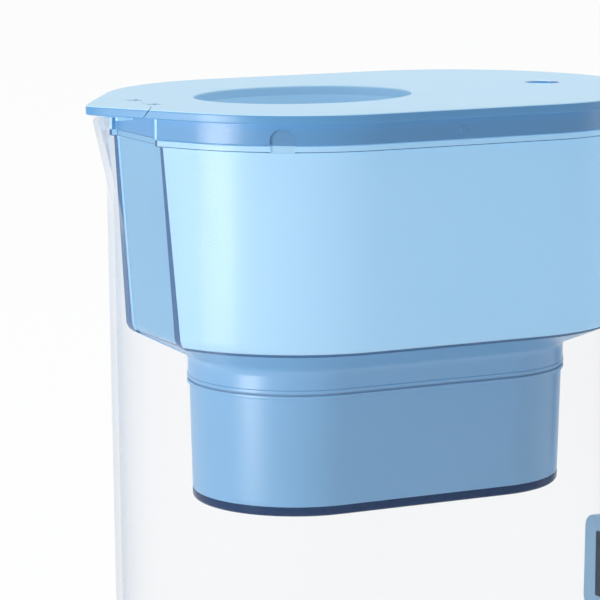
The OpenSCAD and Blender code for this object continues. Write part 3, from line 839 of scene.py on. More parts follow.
@dataclass
class Jug:
    """The clear jug with its beak, ledge, keys and the handle on its back."""

    plan: Plan
    at: Heights
    finishes: Finishes
    radius: float = 69.2
    draft: float = 0.74
    beak_out: float = 11.3
    beak_drop: float = 48.0
    rim_wall: float = 2.0
    wall: float = 2.4
    ledge_w: float = 1.8
    floor: float = 2.8
    foot: float = 6.0
    key_w: float = 7.8
    key_h: float = 7.3
    key_in: float = 1.4
    key_angle: float = 59.4
    lugs: tuple[float, ...] = (226.0, 70.0)
    lug_size: tuple[float, float, float] = (4.2, 11.0, 26.0)

    def side(self, z: float) -> float:
        """Radius of the jug's outside at a height."""
        return self.radius - (self.at.rim - z) * math.tan(math.radians(self.draft))

    def beak(self, z: float) -> float:
        """How far the beak stands out at a height."""
        share = 1 - (self.at.rim - z) / self.beak_drop
        return self.beak_out * max(0.0, share)

    def beak_share(self, z: float) -> float:
        """Share by which the beak draws out the plan at a height."""
        return 1 + self.beak(z) / self.side(z)

    def outline(self, w: float, z: float) -> list[Point]:
        """The jug's plan at an inset and a height."""
        r = self.side(z)
        q = r - w
        return self.plan.outline(q, q * (r + self.beak(z)) / r)

    def ledge_outline(self) -> list[Point]:
        """The ledge's inner edge, which runs out towards the beak's tip."""
        z = self.at.ledge
        r = self.side(z)
        q = r - self.rim_wall - self.ledge_w
        tip = (r + self.beak(z)) * (r - self.rim_wall) / r - 0.1
        return self.plan.outline(q, max(q, tip))

    def key(self, gap: float, deep: float) -> list[Form]:
        """The two arch-topped keys under the rim, or the cutters for their slots.

        Args:
            gap: Gap round the key.
            deep: How far it runs out past the rim wall's inside.

        Returns:
            One form for each side.
        """
        w = self.key_w / 2 + gap
        top = self.key_h + gap
        low = -3 * gap
        crown = w * math.sqrt(1.25)
        lift = top - w / 2 - w / 2
        arch = [(-w, low), (w, low)]
        half = math.degrees(math.asin(w / crown))
        for i in range(13):
            a = math.radians(90 - half + 2 * half * i / 12)
            arch.append((crown * math.cos(a), lift + crown * math.sin(a)))
        inner = self.radius - self.rim_wall - self.key_in - gap
        forms = []
        for side in (-1, 1):
            form = Loft()
            for reach in (inner, inner + self.key_in + gap + deep):
                form.ring([(reach, s, h) for s, h in arch])
            bm = form.solid()
            place = (
                Matrix.Translation((-self.plan.end_x, 0, self.at.ledge))
                @ Matrix.Rotation(math.radians(180 + side * self.key_angle), 4, "Z")
            )
            bmesh.ops.transform(bm, matrix=place, verts=bm.verts)
            forms.append(bm)
        return forms

    def shell(self) -> Form:
        """The jug's wall, floor and ledge."""
        top, low = self.at.rim, self.at.rim - self.beak_drop
        outside = rounded([(20, 0, 0), (0, 0, self.foot), (0, low - 40, 0)], 8)
        outside += [(0, low - 20 + 20 * i / 4) for i in range(5)]
        outside += [(0, low + self.beak_drop * i / 20) for i in range(1, 20)]
        rim = rounded(
            [
                (0, top - 2, 0), (0, top, 0.7), (self.rim_wall, top, 0.7),
                (self.rim_wall, top - 2, 0),
            ],
            4,
        )
        inner_r = self.foot - self.wall
        form = Loft()
        for w, z in outside + rim:
            form.ring(level(self.outline(w, z), z))
        for z in (top - 5, self.at.ledge + 0.2):
            form.ring(level(self.outline(self.rim_wall, z), z))
        form.ring(level(self.outline(self.rim_wall + 0.15, self.at.ledge), self.at.ledge))
        form.ring(level(self.ledge_outline(), self.at.ledge))
        for i in range(1, 17):
            z = self.at.ledge - 10 - (self.at.ledge - 10 - low) * (i - 1) / 15
            form.ring(level(self.outline(self.wall, z), z))
        inside = rounded(
            [(self.wall, low - 20, 0), (self.wall, self.floor, inner_r), (22, self.floor, 0)], 8
        )
        for w, z in inside:
            form.ring(level(self.outline(w, z), z))
        return form.solid()

    def lug(self, z: float, gap: float = 0.0) -> Form:
        """The lug that holds one end of the handle, or the cutter for its socket."""
        out, wide, high = self.lug_size
        x = self.plan.end_x + self.side(z)
        low = (x - 0.6, -wide / 2 - gap, z - high / 2 - gap)
        return block(low, (x + out + gap, wide / 2 + gap, z + high / 2 + gap), 0.4)

    def rim(self, face: Face) -> bool:
        """Whether a face is on the rim or the ledge, where the wall ends or turns: its highlight is
        painted out.
        """
        z = face.calc_center_median().z
        return z > self.at.plate - 2.0

    def on_lug(self, face: Face) -> bool:
        """Whether a face is on a lug, outside the wall."""
        middle = face.calc_center_median()
        return abs(middle.y) < 15 and middle.x > self.plan.end_x + self.side(middle.z) + 0.05

    def build(self) -> None:
        """Builds the jug."""
        forms = [self.shell(), *self.key(0.0, 0.3), *(self.lug(z) for z in self.lugs)]
        finish_piece(
            gather(*forms), "jug_clear", self.finishes.jug, "jug", ["jug"],
            # The rim and the ledge take a clearer finish, which paints out their highlight
            accents=[(self.finishes.jug_rim_highlight_painted_out, self.rim), (self.finishes.jug_lug, self.on_lug)],
        )


@dataclass
class Handle:
    """The loop handle on the jug's two lugs, with its soft inlay."""

    plan: Plan
    at: Heights
    finishes: Finishes
    jug: Jug
    gap: float = 28.0
    thick: float = 14.0
    width: float = 23.0
    rake: float = 6.0
    into: float = 4.0
    rise: float = 2.0
    drop: float = 8.0
    bend_top: float = 18.0
    bend_low: float = 24.0
    flare: float = 0.5
    inlay_l: float = 74.0
    inlay_w: float = 12.0
    inlay_d: float = 1.8
    inlay_up: float = 0.7

    def corners(self) -> list[tuple[float, float, float]]:
        """The spine's corners before rounding, as X, Z and radius."""
        top, low = self.jug.lugs
        end = self.plan.end_x
        back = end + self.jug.side(top) + self.gap + self.thick / 2
        return [
            (end + self.jug.side(top) - self.into, top + self.rise, 0),
            (back, top, self.bend_top),
            (back - self.rake, low, self.bend_low),
            (end + self.jug.side(low) - self.into, low - self.drop, 0),
        ]

    def spine(self) -> list[Vector]:
        """The handle's middle line, with a point at least every 6 mm."""
        made: list[Vector] = []
        points = [Vector(p) for p in rounded(self.corners(), 20)]
        for here, there in zip(points, points[1:]):
            parts = max(1, math.ceil((there - here).length / 6))
            made += [here.lerp(there, i / parts) for i in range(parts)]
        return made + [points[-1]]

    def loop(self) -> Form:
        """The handle's bar, whose ends flare towards the pads."""
        line, form, steps = self.spine(), Loft(), 56
        for k, here in enumerate(line):
            along = line[min(len(line) - 1, k + 1)] - line[max(0, k - 1)]
            along.normalize()
            out = Vector((-along.y, along.x))
            from_end = min((here - line[0]).length, (here - line[-1]).length)
            grow = 1 + self.flare * max(0.0, min(1.0, (24 - from_end) / 14)) ** 2
            ring = []
            for i in range(steps):
                t = -2 * math.pi * i / steps
                c, s = math.cos(t), math.sin(t)
                u = math.copysign(abs(c) ** 0.7, c) * self.thick / 2 * grow
                v = math.copysign(abs(s) ** 0.7, s) * self.width / 2
                ring.append((here.x + out.x * u, v, here.y + out.y * u))
            form.ring(ring)
        return form.solid()

    def pad(self, z: float) -> Form:
        """The pad that meets the jug, with round corners and a soft outer edge."""
        out, wide, high = self.jug.lug_size
        x = self.plan.end_x + self.jug.side(z)
        w, h = (wide + 14) / 2, (high + 12) / 2
        bm = block((x - self.into, -w, z - h), (x + out + 2, w, z + h))
        along = [e for e in bm.edges if abs(e.verts[0].co.x - e.verts[1].co.x) > 1]
        soften(bm, along, 5, 8)
        outer = [e for e in bm.edges if all(v.co.x > x + out + 1.9 for v in e.verts)]
        soften(bm, outer, 1.6, 4)
        return bm

    def inlay(self, gap: float) -> Form:
        """The soft inlay on the handle's inner side, or the cutter for its seat."""
        b, c = (Vector(p[:2]) for p in self.corners()[1:3])
        along = (c - b).normalized()
        face = -self.thick / 2
        proud = face - (3.0 if gap else self.inlay_up)
        deep = face + self.inlay_d + gap
        section = rounded(
            [
                (2.5, deep, 0), (-gap, deep, 0.1), (-gap, proud, 0.01 if gap else 0.6),
                (2.5, proud - gap, 0),
            ],
            5,
        )
        form = Loft()
        for inset, x in section:
            ring = []
            for i in range(64):
                t = 2 * math.pi * (i + 0.5) / 64
                side = math.copysign((self.inlay_l - self.inlay_w) / 2, math.sin(t))
                r = self.inlay_w / 2 - inset
                ring.append((x, r * math.cos(t), side + r * math.sin(t)))
            form.ring(ring)
        bm = form.solid()
        middle = (b + c) / 2
        tilt = Matrix.Rotation(math.atan2(-along.x, -along.y), 4, "Y")
        place = Matrix.Translation((middle.x, 0, middle.y)) @ tilt
        bmesh.ops.transform(bm, matrix=place, verts=bm.verts)
        return bm

    def build(self) -> None:
        """Builds the handle and its inlay."""
        round_end = bmesh.new()
        bmesh.ops.create_cone(
            round_end, cap_ends=True, segments=256, radius1=self.jug.side(0) + 0.1,
            radius2=self.jug.side(self.at.lid) + 0.1, depth=self.at.lid,
        )
        middle = Matrix.Translation((self.plan.end_x, 0, self.at.lid / 2))
        bmesh.ops.transform(round_end, matrix=middle, verts=round_end.verts)
        steps: Steps = [
            (Cut.ADD, self.pad(z)) for z in self.jug.lugs
        ]
        steps.append((Cut.TAKE, round_end))
        steps += [(Cut.TAKE, self.jug.lug(z, 0.1)) for z in self.jug.lugs]
        steps.append((Cut.TAKE, self.inlay(0.05)))
        finish_piece(
            carve(self.loop(), steps), "handle_loop", self.finishes.handle, "jug",
            ["handle"], 40,
        )
        finish_piece(
            self.inlay(0.0), "handle_inlay", self.finishes.grip, "jug", ["handle_grip"]
        )


@dataclass
class Hopper:
    """The lift-out hopper with its neck, the filter housing and the dark base."""

    plan: Plan
    at: Heights
    finishes: Finishes
    jug: Jug
    flange_r: float = 66.5
    top_r: float = 64.6
    low_r: float = 62.2
    wall: float = 2.0
    front: float = 63.0
    recess: float = 0.8
    rib_out: float = 1.8
    half: float = 18.5
    lean_by: float = 5.4
    edge: float = 5.5
    edge_from: float = 22.4
    neck_r: float = 39.6
    fillet: float = 4.0
    joint_t: float = 1.4
    joint_out: float = 0.3
    house_r: float = 39.0
    house_low: float = 37.8
    house_wall: float = 2.2
    base_t: float = 3.6
    outlet_y: float = 26.0
    outlet_r: float = 1.9
    collar_r: float = 4.0

    def lean(self, z: float) -> float:
        """How far the front has leant back at a height."""
        share = (self.at.flange - z) / (self.at.flange - self.at.shoulder)
        return self.lean_by * min(1.0, share)

    def beak_wall(self) -> float:
        """Share by which the beak draws out the wall's plan under the flange."""
        z = self.at.ledge
        r, wall = self.jug.side(z), self.jug.rim_wall
        return ((r + self.jug.beak(z)) * (r - wall) / r - 0.1) / (r - wall - self.jug.ledge_w)

    def outer(self, r: float, share: float, z: float, w: float = 0.0) -> list[Point]:
        """The wall's outside plan at a height and an inset."""
        e = self.front - self.lean(z) - w
        return self.plan.cut(r - w, (r - w) * share, e, e - self.recess, self.half)

    def inner(self, r: float, share: float, z: float, w: float = 0.0) -> list[Point]:
        """The wall's inside plan at a height and an inset."""
        e = self.front - self.recess - self.wall - self.lean(z) - w
        q = r - self.wall - w
        return self.plan.cut(q, q * share, e, e - 0.02, self.half - self.wall)

    def flange(self, w: float) -> list[Point]:
        """The flange's plan at an inset."""
        r = self.flange_r - w
        return self.plan.cut(
            r, r * self.jug.beak_share(self.at.flange), self.front + self.rib_out - w,
            self.front - self.recess + 0.3 - w, self.half + 0.3 + w,
        )

    def neck(self, r: float) -> list[Point]:
        """The neck's plan, with as many points as the hopper's."""
        return self.plan.cut(r, r, r, r * 0.998, self.half)

    def hopper(self) -> Form:
        """The hopper's shell, with its flange, shoulder and neck."""
        at, form = self.at, Loft()
        joint = self.neck_r + self.joint_out
        for r, z in (
            (joint - 0.2, at.joint), (joint, at.joint + 0.25),
            (joint, at.joint + self.joint_t - 0.2), (self.neck_r, at.joint + self.joint_t),
        ):
            form.ring(level(self.neck(r), z))
        # The cone runs from the neck's fillet straight into the rounded lower edge
        a0 = math.radians(self.edge_from)
        start_r = self.low_r - self.edge * (1 - math.sin(a0))
        start_z = at.shoulder - self.edge * math.cos(a0)
        neck = self.neck(self.neck_r)
        foot = self.outer(self.low_r, 1, start_z, self.edge * (1 - math.sin(a0)))
        cone = rounded(
            [
                (self.neck_r, at.joint + self.joint_t + 1, 0), (self.neck_r, at.neck, self.fillet),
                (start_r, start_z, 0),
            ],
            8,
        )
        for r, z in cone[:-1]:
            share = (r - self.neck_r) / (start_r - self.neck_r)
            form.ring(level(between(neck, foot, share), z))
        for k in range(4):
            share = 0.3 + 0.2 * k
            z = at.neck + (start_z - at.neck) * share
            form.ring(level(between(neck, foot, share), z))
        for k in range(11):
            a = a0 + (math.pi / 2 - a0) * k / 10
            z = at.shoulder - self.edge * math.cos(a)
            form.ring(level(self.outer(self.low_r, 1, z, self.edge * (1 - math.sin(a))), z))
        top = self.beak_wall()
        low_ring = self.outer(self.low_r, 1, at.shoulder)
        high_ring = self.outer(self.top_r, top, at.wall)
        for k in range(1, 10):
            z = at.shoulder + (at.wall - at.shoulder) * k / 10
            form.ring(level(between(low_ring, high_ring, k / 10), z))
        form.ring(level(high_ring, at.wall))
        for w, z in (
            (0.35, at.wall), (0.0, at.wall + 0.3), (0.0, at.flange - 0.4), (0.12, at.flange - 0.12),
            (0.4, at.flange),
        ):
            form.ring(level(self.flange(w), z))
        low_in = self.inner(self.low_r, 1, at.shoulder)
        high_in = self.inner(self.top_r, top, at.flange)
        form.ring(level(high_in, at.flange))
        for k in range(9, 0, -1):
            z = at.shoulder + (at.flange - at.shoulder) * k / 10
            form.ring(level(between(low_in, high_in, k / 10), z))
        form.ring(level(low_in, at.shoulder))
        slope = (self.low_r - self.edge - self.neck_r) / (at.neck - at.shoulder + self.edge)
        drop = self.wall * (math.hypot(1, slope) - 1) / abs(slope)
        z = at.shoulder - self.edge + self.wall
        w = self.edge + drop - self.wall
        foot_in = self.inner(self.low_r, 1, z, w)
        form.ring(level(between(low_in, foot_in, 0.35), z + 1.1))
        form.ring(level(foot_in, z))
        neck_in = self.neck(self.neck_r - self.wall)
        low = at.neck + self.wall - drop / 2
        form.ring(level(between(neck_in, foot_in, 0.08), low + 0.6))
        form.ring(level(neck_in, low - 0.8))
        form.ring(level(neck_in, at.joint))
        form.join_ends()
        return form.bm

    def housing(self) -> Form:
        """The filter housing's wall, with the lower flange of the joint."""
        at, joint = self.at, self.neck_r + self.joint_out
        section = [(self.house_low, at.base + 0.01), (self.house_low + 0.15, at.base + 0.5)]
        section += rounded(
            [
                (self.house_low + 0.2, at.base + 2, 0),
                (self.house_r, at.house - self.joint_t, 0.3),
                (joint, at.house - self.joint_t, 0.3), (joint, at.house, 0.35),
                (self.house_r - self.house_wall, at.house, 0.3),
                (self.house_low - self.house_wall, at.base + 0.01, 0),
            ],
            4,
        )
        return drawn(section, self.plan.at_radius, True)

    def base(self) -> Form:
        """The dark base with its spigot and four outlets."""
        r, z = self.house_low + 0.2, self.at.base
        section = rounded(
            [(12, z - self.base_t, 0), (r, z - self.base_t, 1.6), (r, z, 0.3), (12, z, 0)], 6
        )
        spigot = self.house_low - self.house_wall - 0.1
        ring = rounded(
            [
                (spigot - 2, z - 0.5, 0), (spigot, z - 0.5, 0), (spigot, z + 2.2, 0.4),
                (spigot - 2, z + 2.2, 0.4), (spigot - 2, z - 0.4, 0),
            ],
            3,
        )
        steps: Steps = [(Cut.ADD, drawn(ring, self.plan.at_radius, True))]
        places = [(x * self.plan.end_x, y * self.outlet_y) for x in (-1, 1) for y in (-1, 1)]
        for x, y in places:
            low = z - self.base_t - 1.6
            steps.append((Cut.ADD, bar(self.collar_r, 2.6, (x, y, low + 1.3), "Z", 0.5, 48)))
        for x, y in places:
            steps.append((Cut.TAKE, bar(self.outlet_r, 12, (x, y, z - 2), "Z", 0, 32)))
        return carve(drawn(section, self.plan.at_radius, False), steps)

    def flat(self, z: float) -> float:
        """Half the width of the wall's flat front at a height."""
        low = self.plan.half_at(self.low_r, self.low_r, self.front - self.lean_by)
        high = self.plan.half_at(self.top_r, self.top_r * self.beak_wall(), self.front)
        share = (z - self.at.shoulder) / (self.at.wall - self.at.shoulder)
        return low + (high - low) * min(1.0, max(0.0, share))

    def thick(self, face: Face) -> bool:
        """Whether a face is painted deep blue as shade: a rib's end, the shoulder's turn or the
        flange's hairline.
        """
        middle = face.calc_center_median()
        rib = self.half < abs(middle.y) < self.flat(middle.z) + 0.1 and face.normal.x < -0.5
        turn = -4.7 < middle.z - self.at.shoulder < -3.5
        under = 0 < middle.z - self.at.wall < 0.3
        return (rib and middle.x < -self.plan.end_x - 50) or turn or under

    def in_painted_shade(self, face: Face) -> bool:
        """Whether a face takes the painted shade: on the neck, on the underside or on the channel's
        panel.
        """
        middle = face.calc_center_median()
        panel = abs(middle.y) < self.half - 0.2 and middle.x < -self.plan.end_x - 50
        return panel or middle.z < self.at.shoulder - 3.4

    def lower(self, face: Face) -> bool:
        """Whether a face is on the neck or the cone above it, which take the housing's finish
        without the painted glow: painted shade on the cone, which faces down.
        """
        return face.calc_center_median().z < self.at.shoulder - 4.7

    def build(self) -> None:
        """Builds the hopper, the housing and its base, and dresses the seal."""
        cutters = [(Cut.TAKE, k) for k in self.jug.key(0.4, 3.0)]
        finish_piece(
            carve(self.hopper(), cutters), "hopper_shell", self.finishes.hopper, "hopper",
            ["hopper"], 38,
            [
                # Painted shade on the channel's panel and the underside
                (self.finishes.hopper_painted_shade, self.in_painted_shade), (self.finishes.housing, self.lower),
                # Painted shade: deep blue lines on the rib ends, the shoulder's turn and under the
                # flange
                (self.finishes.hopper_painted_dark_edge, self.thick),
            ],
        )
        finish_piece(
            self.housing(), "filter_housing_cup", self.finishes.housing, "hopper",
            ["filter_housing"],
        )
        finish_piece(
            self.base(), "housing_base_dark", self.finishes.navy, "hopper",
            ["housing_base"],
        )
        dress("housing_seal", self.finishes.joint)


@dataclass
class Cartridge:
    """The lift-out filter cartridge."""

    plan: Plan
    at: Heights
    finishes: Finishes
    cap_r: float = 37.2
    rim_h: float = 3.0
    groove: Point = (1.1, 1.2)
    deck_in: float = 3.4
    deck_t: float = 1.8
    deck_h: float = 4.6
    slot: tuple[float, float, float, int] = (2.2, 36.0, 6.4, 5)
    pull_x: float = 8.2
    pull: tuple[float, float, float] = (12.0, 9.0, 16.0)

    def cap(self) -> Form:
        """The cap, with its seal's groove, raised deck, inlet slots and pull grip."""
        low, r = self.at.house + 0.1, self.cap_r
        rim, deck = low + self.rim_h, low + self.rim_h + self.deck_h
        deep, high = self.groove
        ring = low + (self.rim_h - high) / 2
        inner = r - self.deck_in
        section = rounded(
            [
                (10, low, 0), (r, low, 0.3), (r, ring, 0.1), (r - deep, ring, 0),
                (r - deep, ring + high, 0), (r, ring + high, 0.1), (r, rim, 0.5),
                (inner, rim, 0.8), (inner - 0.6, deck, 1.0), (10, deck, 0),
            ],
            4,
        )
        chamber = inner - 0.6 - self.deck_t
        roof = deck - self.deck_t
        room = [(10, low - 1), (chamber, low - 1), (chamber, roof), (10, roof)]
        hollow = drawn(room, self.plan.at_radius, False)
        steps = [(Cut.ADD, self.grip(deck)), (Cut.TAKE, hollow)]
        wide, long, pitch, count = self.slot
        for side in (-1, 1):
            for i in range(count):
                x = side * (self.pull_x + self.pull[0] / 2 + 4 + i * pitch)
                low_end = (x - wide / 2, -long / 2, deck - 3)
                cutter = block(low_end, (x + wide / 2, long / 2, deck + 1))
                upright = [e for e in cutter.edges if abs(e.verts[0].co.z - e.verts[1].co.z) > 1]
                soften(cutter, upright, 1.0, 4)
                steps.append((Cut.TAKE, cutter))
        return carve(drawn(section, self.plan.at_radius, False), steps)

    def grip(self, deck: float) -> Form:
        """The pull grip: a fin with a round top and a flared foot."""
        wide, thick, high = self.pull
        foot, peak = wide / 2, 2.4
        side = rounded(
            [
                (-foot - 1, deck - 0.4, 0), (-foot, deck + 1, 1.5), (-peak, deck + high, peak),
                (peak, deck + high, peak), (foot, deck + 1, 1.5), (foot + 1, deck - 0.4, 0),
            ],
            8,
        )
        form = Loft()
        for y in (-thick / 2, thick / 2):
            form.ring([(self.pull_x + x, y, z) for x, z in side])
        bm = form.solid()
        ends = [e for e in bm.edges if abs(e.verts[0].co.y - e.verts[1].co.y) < 1e-6]
        soften(bm, ends, 0.9, 4)
        return bm

    def build(self) -> None:
        """Builds the cap and dresses the cartridge's other nodes."""
        finish_piece(
            self.cap(), "cartridge_cap_moulded", self.finishes.cap, "cartridge",
            ["cartridge_cap"],
        )
        for node, finish in (
            ("cartridge_shell", self.finishes.cap), ("cartridge_gasket", self.finishes.seal),
            ("cartridge_screen", self.finishes.screen), ("filter_media", self.finishes.media),
        ):
            dress(node, finish)


@dataclass
class Lid:
    """The lid's plate and skirt, the oval fill well with its flap, and the pour flap."""

    plan: Plan
    at: Heights
    finishes: Finishes
    jug: Jug
    radius: float = 70.0
    tip: float = 12.6
    edge: float = 0.8
    skirt_r: float = 66.3
    skirt_t: float = 2.2
    skirt_h: float = 7.8
    front_x: float = 64.8
    face_x: float = 63.1
    half: float = 18.5
    well: tuple[float, float, float] = (-31.25, 41.9, 31.9)
    well_low: float = 252.6
    seam_x: float = 21.3
    seam_r: float = 40.7
    seam_lean: float = 2.6
    seam_gap: float = 0.35
    hinge: Point = (-92.85, 259.8)
    knuckle_r: float = 2.05
    knuckle_y: float = 8.2
    knuckle_l: float = 4.0
    outer_l: float = 3.4
    side_gap: float = 0.3
    fill_axis: Point = (15.15, 250.4)
    barrel_r: float = 2.3
    fill_bore: float = 1.06
    spout_bore: float = 0.86
    arm: Point = (5.8, 2.0)
    rib_y: float = 5.6
    rib_half: float = 0.7
    dimple_r: float = 1.7
    indicator_x: float = 70.55

    def plate(self) -> Form:
        """The whole plate, before anything is cut from it."""

        def fit(w: float, z: float) -> list[Point]:
            """The plate's plan at an inset."""
            return self.plan.outline(self.radius - w, self.radius + self.tip - w)

        section = rounded(
            [
                (9, self.at.plate, 0), (0.1, self.at.plate, 0.4), (0, self.at.plate + 1.2, 0),
                (0, self.at.lid, self.edge), (9, self.at.lid, 0),
            ],
            6,
        )
        return drawn(section, fit, False)

    def front(self, gap: float) -> Form:
        """Everything in front of the leaning, curved seam, drawn back by a gap."""
        tip_x = -self.plan.end_x - self.radius - self.tip
        centre = tip_x + self.seam_x - self.seam_r
        slope = self.seam_lean / (self.at.lid - self.at.plate)

        def arc(back: float) -> list[Point]:
            """The seam's arc, closed far ahead of the tip."""
            r = self.seam_r - gap - back
            turn = [math.radians(-56 + 112 * i / 64) for i in range(65)]
            far = [(centre - 30, 60.0), (centre - 30, -60.0)]
            return [(centre + r * math.cos(t), r * math.sin(t)) for t in turn] + far

        form = Loft()
        form.ring(level(arc(self.seam_lean + 8 * slope), self.at.plate - 8))
        form.ring(level(arc(-2 * slope), self.at.lid + 2))
        return form.solid()

    def oval(self, w: float, z: float) -> list[Point]:
        """The well's plan at an outset, the same at every height."""
        x, a, b = self.well
        return self.plan.oval(a + w, b + w, x)

    def opening(self) -> Form:
        """The cutter of the fill opening, with a softly flared upper edge."""
        top = self.at.lid
        edge = 0.7
        section = [(-0.3, self.at.plate - 1), (-0.3, self.at.plate + 1.2)]
        for turn in (math.radians(t) for t in range(0, 90, 10)):
            section.append((-0.3 + edge * (1 - math.cos(turn)), top - edge * (1 - math.sin(turn))))
        section += [(edge - 0.3, top + 0.01), (edge + 0.2, top + 1)]
        return drawn(section, self.oval, False)

    def cover(self) -> Form:
        """The plate with the seam, the opening, the hinge and the indicator's seat."""
        x, z = self.hinge
        steps: Steps = [
            (Cut.TAKE, self.front(0.0)), (Cut.TAKE, self.opening())
        ]
        outer_y = self.knuckle_y + self.knuckle_l / 2 + self.side_gap + self.outer_l / 2
        middle = 2 * (self.knuckle_y - self.knuckle_l / 2 - self.side_gap)
        steps.append((Cut.ADD, bar(self.knuckle_r, middle, (x, 0, z))))
        for s in (-1, 1):
            steps.append((Cut.ADD, bar(self.knuckle_r, self.outer_l, (x, s * outer_y, z))))
        w = self.knuckle_l + 2 * self.side_gap
        for s in (-1, 1):
            y = s * self.knuckle_y
            steps.append(
                (
                    Cut.TAKE,
                    block((x - 8, y - w / 2, self.at.plate - 1), (x, y + w / 2, self.at.lid + 1)),
                )
            )
            steps.append((Cut.TAKE, bar(self.knuckle_r + 0.08, w - 0.04, (x, y, z), "Y", 0)))
        bore_l = 2 * outer_y + self.outer_l + 1
        steps.append((Cut.TAKE, bar(self.spout_bore, bore_l, (x, 0, z), "Y", 0, 32)))
        for r, low in ((6.35, self.at.plate - 1), (7.15, self.at.lid - 1.6)):
            height = self.at.lid + 1 - low
            seat = (self.indicator_x, 0, low + height / 2)
            steps.append((Cut.TAKE, bar(r, height, seat, "Z", 0, 96)))
        return carve(self.plate(), steps)

    def skirt(self) -> Form:
        """The skirt under the plate, with its front recess, key slots and snap dimples."""
        low, top = self.at.plate - self.skirt_h, self.at.plate
        inner, deep = self.skirt_r - self.skirt_t, self.face_x - self.skirt_t
        share = self.jug.beak_share(self.at.flange)

        def fit(w: float, z: float) -> list[Point]:
            """The skirt's outside plan at a small inset, and its inside plan beyond."""
            if w <= 1.0:
                r = self.skirt_r - w
                return self.plan.cut(
                    r, r * share, self.front_x - w, self.face_x - w, self.half + w
                )
            return self.plan.cut(inner, inner * share, deep, deep - 0.02, self.half)

        section = rounded(
            [(0.8, low, 0), (0, low, 0.35), (0, top, 0), (2.0, top, 0), (2.0, low, 0)], 3
        )
        form = drawn(section, fit, True)
        x, z = self.hinge
        steps = [(Cut.TAKE, k) for k in self.jug.key(0.5, 3.0)]
        steps.append((Cut.TAKE, bar(self.knuckle_r + self.side_gap, 28.4, (x, 0, z), "Y", 0)))
        for s in (-1, 1):
            place = (-self.plan.end_x + 33, s * (self.skirt_r - 0.1), self.at.plate - 4.6)
            steps.append((Cut.ADD, bar(self.dimple_r, 1.0, place, "Y", 0.4, 32)))
        return carve(form, steps)

    def end(self, face: Face) -> bool:
        """Whether a face is an end of the skirt beside the channel, painted light with the lid's
        pale finish.
        """
        middle = face.calc_center_median()
        beside = self.half < abs(middle.y) < self.half + 6
        return beside and middle.x < -self.plan.end_x - 60 and face.normal.x < -0.9

    def well_wall(self) -> Form:
        """The oval well under the opening, with the lugs of the fill flap's hinge."""
        low, top = self.well_low, self.at.plate
        form = drawn([(1.0, low), (1.3, top), (-0.3, top), (-0.6, low)], self.oval, True)
        fx, fz = self.fill_axis
        steps: Steps = []
        for s in (-1, 1):
            y = s * 10.8
            steps.append((Cut.ADD, bar(self.barrel_r, 3.0, (fx, y, fz))))
            low_end = (fx - self.barrel_r, y - 1.5, fz)
            steps.append((Cut.ADD, block(low_end, (fx + self.barrel_r, y + 1.5, top))))
        steps.append((Cut.ADD, block((fx - 4.5, -12.3, low + 1.4), (fx - 1.9, 12.3, top))))
        steps.append((Cut.TAKE, bar(self.fill_bore, 30, (fx, 0, fz), "Y", 0, 32)))
        return carve(form, steps)

    def fill_flap(self) -> Form:
        """The fill flap: a softly dished oval with ribs under it and a hinge barrel."""
        x, a, b = self.well
        top = self.at.lid - 9.7
        low = top - 1.8

        def fit(w: float, z: float) -> list[Point]:
            """The flap's plan at an inset."""
            return self.plan.oval(a + 0.7 - w, b + 0.7 - w, x)

        section = rounded(
            [(20, low, 0), (0, low, 0.5), (0, top, 0.4), (2.2, top, 0.3), (3.4, top - 0.5, 0.3),
             (20, top - 0.5, 0)],
            3,
        )
        form = drawn(section, fit, False)
        fx, fz = self.fill_axis
        steps: Steps = [
            (Cut.ADD, block((x + a - 5.3, -9, low), (fx, 9, top - 0.4))),
            (Cut.ADD, bar(self.barrel_r, 18, (fx, 0, fz))),
        ]
        for y in (-8, 0, 8):
            start = (x - a * 0.79, y - self.rib_half, low - 1.6)
            rib = block(start, (fx, y + self.rib_half, low + 0.2))
            steps.append((Cut.ADD, rib))
        steps.append((Cut.TAKE, bar(self.fill_bore, 22, (fx, 0, fz), "Y", 0, 32)))
        return carve(form, steps)

    def pour_flap(self) -> Form:
        """The pour flap over the beak, with its two knuckles and locating ribs."""
        x, z = self.hinge
        steps: Steps = [(Cut.KEEP, self.front(self.seam_gap))]
        for s in (-1, 1):
            y = s * self.knuckle_y
            half = self.knuckle_l / 2
            steps.append((Cut.ADD, bar(self.knuckle_r, self.knuckle_l, (x, y, z))))
            # The arm stops short of the axis, so that it clears the plate as the flap opens
            low, top = self.at.plate + 0.4, z + self.knuckle_r
            far, near = self.arm
            arm = block((x - far, y - half, low), (x - near, y + half, top))
            steps.append((Cut.ADD, arm))
        steps.append((Cut.TAKE, bar(self.spout_bore, 24, (x, 0, z), "Y", 0, 32)))
        tip_x, half = -self.plan.end_x - self.radius - self.tip, self.rib_half
        for y in (-self.rib_y, self.rib_y):
            rib = block(
                (tip_x + 9, y - half, self.at.plate - 2), (tip_x + 15, y + half, self.at.plate + 1)
            )
            steps.append((Cut.ADD, rib))
        return carve(self.plate(), steps)

    def rim(self, face: Face) -> bool:
        """Whether a face is on the plate's upright rim, painted shade in the skirt's deeper blue.
        """
        middle = face.calc_center_median()
        x = middle.x - math.copysign(min(abs(middle.x), self.plan.end_x), middle.x)
        off = math.degrees(math.atan2(abs(middle.y), -x))
        edge = self.plan.reach(self.radius, self.radius + self.tip, off) if x < 0 else self.radius
        return face.normal.z < 0.55 and math.hypot(x, middle.y) > edge - 1.0

